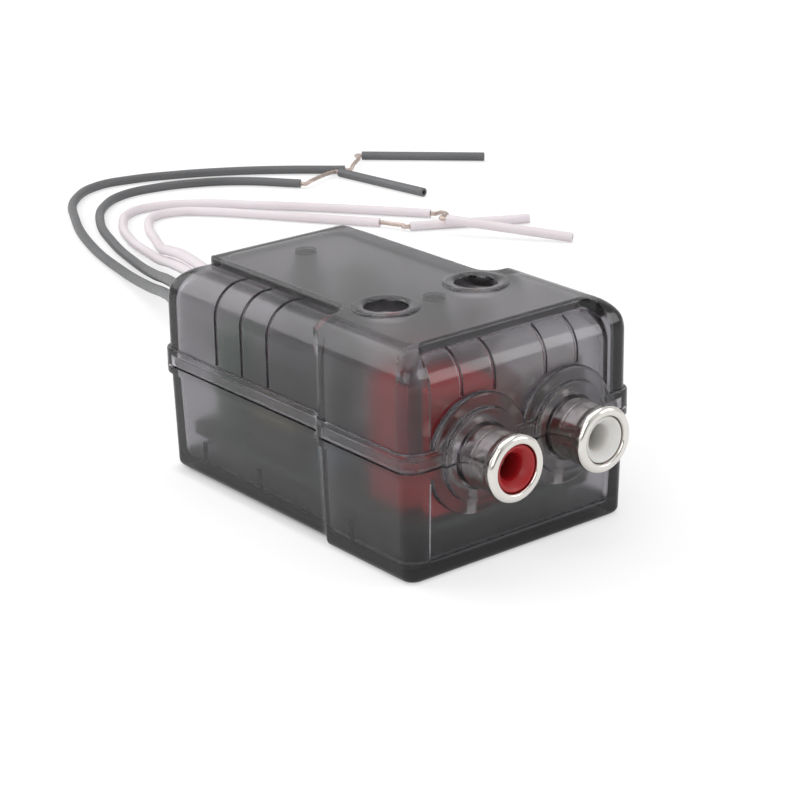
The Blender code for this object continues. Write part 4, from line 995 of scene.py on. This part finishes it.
# Distances count from the rim, the insert's face and the contact's front end, and the rest from
# the front of the block
RIM_AT = BLOCK_FRONT_Y - FACE_Y
FACE_AT = RIM_AT - 0.35 * MM
CONTACT_AT = FACE_AT - 3.6 * MM
RIM = [(3.12, -0.9), (3.12, -0.4), *arc(3.42, -0.3, 0.3, 165, 95, 5), *arc(3.68, -0.62, 0.62, 88, 0, 9),
       (4.29, -1.0), (4.23, -1.3), (4.12, -1.55), (4.03, -1.8), (3.99, -2.1)]
LINES = [(radius, z + dz) for z in (6.2, 4.4, 2.7)
         for radius, dz in ((3.99, 0.3), (3.99, 0.08), (3.965, 0), (3.99, -0.08), (3.99, -0.3))]
SHELL = profile((RIM_AT, RIM), (0, [*LINES, (4.0, 0.85), (5.0, 0.8), (5.0, 0.3), (3.45, 0.3)]),
                (RIM_AT, [(3.45, -1.2)]))
INSERT = profile((FACE_AT, [(0, -1), (1.9, -1), (2.62, -0.06), (2.75, 0), (2.9, 0), (3.02, -0.12)]),
                 (0, [(3.02, -1), (0, -1)]))
BORE = profile((FACE_AT, [(0, 1), (1.95, 1), (1.95, -0.9), (1.85, -1.02), (1.74, -1.3), (1.65, -1.8)]),
               (0, [(1.65, -11.2), (0, -11.2)]))
CONTACT = profile((0, [(0, 0), (0.95, 0)]), (CONTACT_AT, [(0.95, -0.15), (1.1, 0), (1.25, 0), (1.35, -0.1)]),
                  (0, [(1.35, -10.5), (0, -10.5)]))
print("jacks stand", round((-HALF_LENGTH - FLANGE - FACE_Y) / MM, 2), "mm out of the flange")

# %% Turn and mould the jacks
def jack(side_name, side, finish):
    x = side * JACK_X
    seat = (x, BLOCK_FRONT_Y, PARTING)
    body = block(side_name + "_jack_moulding", (x - BLOCK_HALF, BLOCK_FRONT_Y, STAND),
                 (x + BLOCK_HALF, BLOCK_REAR_Y, BLOCK_TOP), BLOCK_EDGE, 4)
    combine(body, spun("insert", INSERT, seat, "F", 96), "UNION")
    combine(body, spun("bore", BORE, seat, "F", 96))
    tidy(body)
    belongs(body, finish, "case", [f"{side_name}_jack_body"])

    shell = spun(side_name + "_nickel_shell", SHELL, seat, "F", 96, closed=True)
    tail = block("tail", (x - HALF_TAIL, BLOCK_FRONT_Y - 0.75 * MM, STAND),
                 (x + HALF_TAIL, BLOCK_FRONT_Y - 0.35 * MM, PARTING - 4.1 * MM))
    combine(shell, tail, "UNION")
    tidy(shell, 35)
    belongs(shell, nickel, "case", [f"{side_name}_jack_shell"])

    contact = spun(side_name + "_centre_contact", CONTACT, seat, "F", 40)
    strip = block("strip", (x - HALF_TAIL, BLOCK_REAR_Y + 0.25 * MM, STAND),
                  (x + HALF_TAIL, BLOCK_REAR_Y + 0.7 * MM, PARTING + 1.35 * MM))
    combine(contact, strip, "UNION")
    tidy(contact)
    belongs(contact, tinned, "case", [f"{side_name}_jack_contact"])


jack("left", -1, red)
jack("right", 1, white)

# %% [markdown]
# ## What shows through the case
# Behind the walls stand two small transformers, the gain adjusters, capacitors and resistors on a
# circuit board. Pieces whose CAD shape is right keep it and only get a better material.

# %% Mix the finishes of the inner pieces
board_green = Finish("board_green", Roughness=0.35)
patches = board_green.noise(350.0, 1.0).between(0.48, 0.52)
board_green.feed(Base_Color=board_green.blend(patches, (0.02, 0.04, 0.028), (0.03, 0.06, 0.036)))

core_steel = Finish("core_steel", Metallic=0.8)
sheets = core_steel.bands("X", 450.0, 0.3)
core_steel.feed(Base_Color=core_steel.blend(sheets, (0.05, 0.05, 0.055), (0.17, 0.17, 0.18)),
                Roughness=0.35 + sheets * 0.2, Normal=core_steel.bump(sheets, 0.00005))

tape = Finish("coil_tape")
wraps = tape.bands("Z", 180.0, 0.8)
tape.feed(Base_Color=tape.blend(wraps, (0.14, 0.14, 0.04), (0.24, 0.22, 0.06)),
          Roughness=0.22 + wraps * 0.12, Normal=tape.bump(wraps, 0.00005))

black_moulding = coloured("black_moulding", (0.018, 0.018, 0.02), (0.03, 0.03, 0.032), 0.4)
grey_moulding = coloured("grey_moulding", (0.42, 0.38, 0.37), (0.55, 0.51, 0.5), 0.35)
green_sleeve = coloured("green_sleeve", (0.03, 0.13, 0.05), (0.045, 0.18, 0.07), 0.2)
blue_ceramic = coloured("blue_ceramic", (0.22, 0.36, 0.46), (0.3, 0.45, 0.55), 0.4)

screw_steel = Finish("screw_steel", Metallic=1.0)
scratches = screw_steel.noise(4000.0, 4.0)
screw_steel.feed(Base_Color=screw_steel.blend(scratches, (0.33, 0.33, 0.34), (0.5, 0.5, 0.51)),
                 Roughness=0.25 + scratches * 0.25)

# %% Dress the inner pieces
FINISH_OF_NODE = {
    "circuit_board": board_green,
    "transformer_core": core_steel,
    "transformer_bobbin": black_moulding,
    "transformer_coil": tape,
    "gain_pot": black_moulding,
    "gain_shaft": grey_moulding,
    "capacitor": green_sleeve,
    "resistor_front": blue_ceramic,
    "resistor_rear": blue_ceramic,
    "case_screw_front": screw_steel,
    "case_screw_rear": screw_steel,
}
for name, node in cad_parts.items():
    for ending, finish in FINISH_OF_NODE.items():
        if name.endswith(ending):
            wear(node, finish)
print("inner pieces dressed")
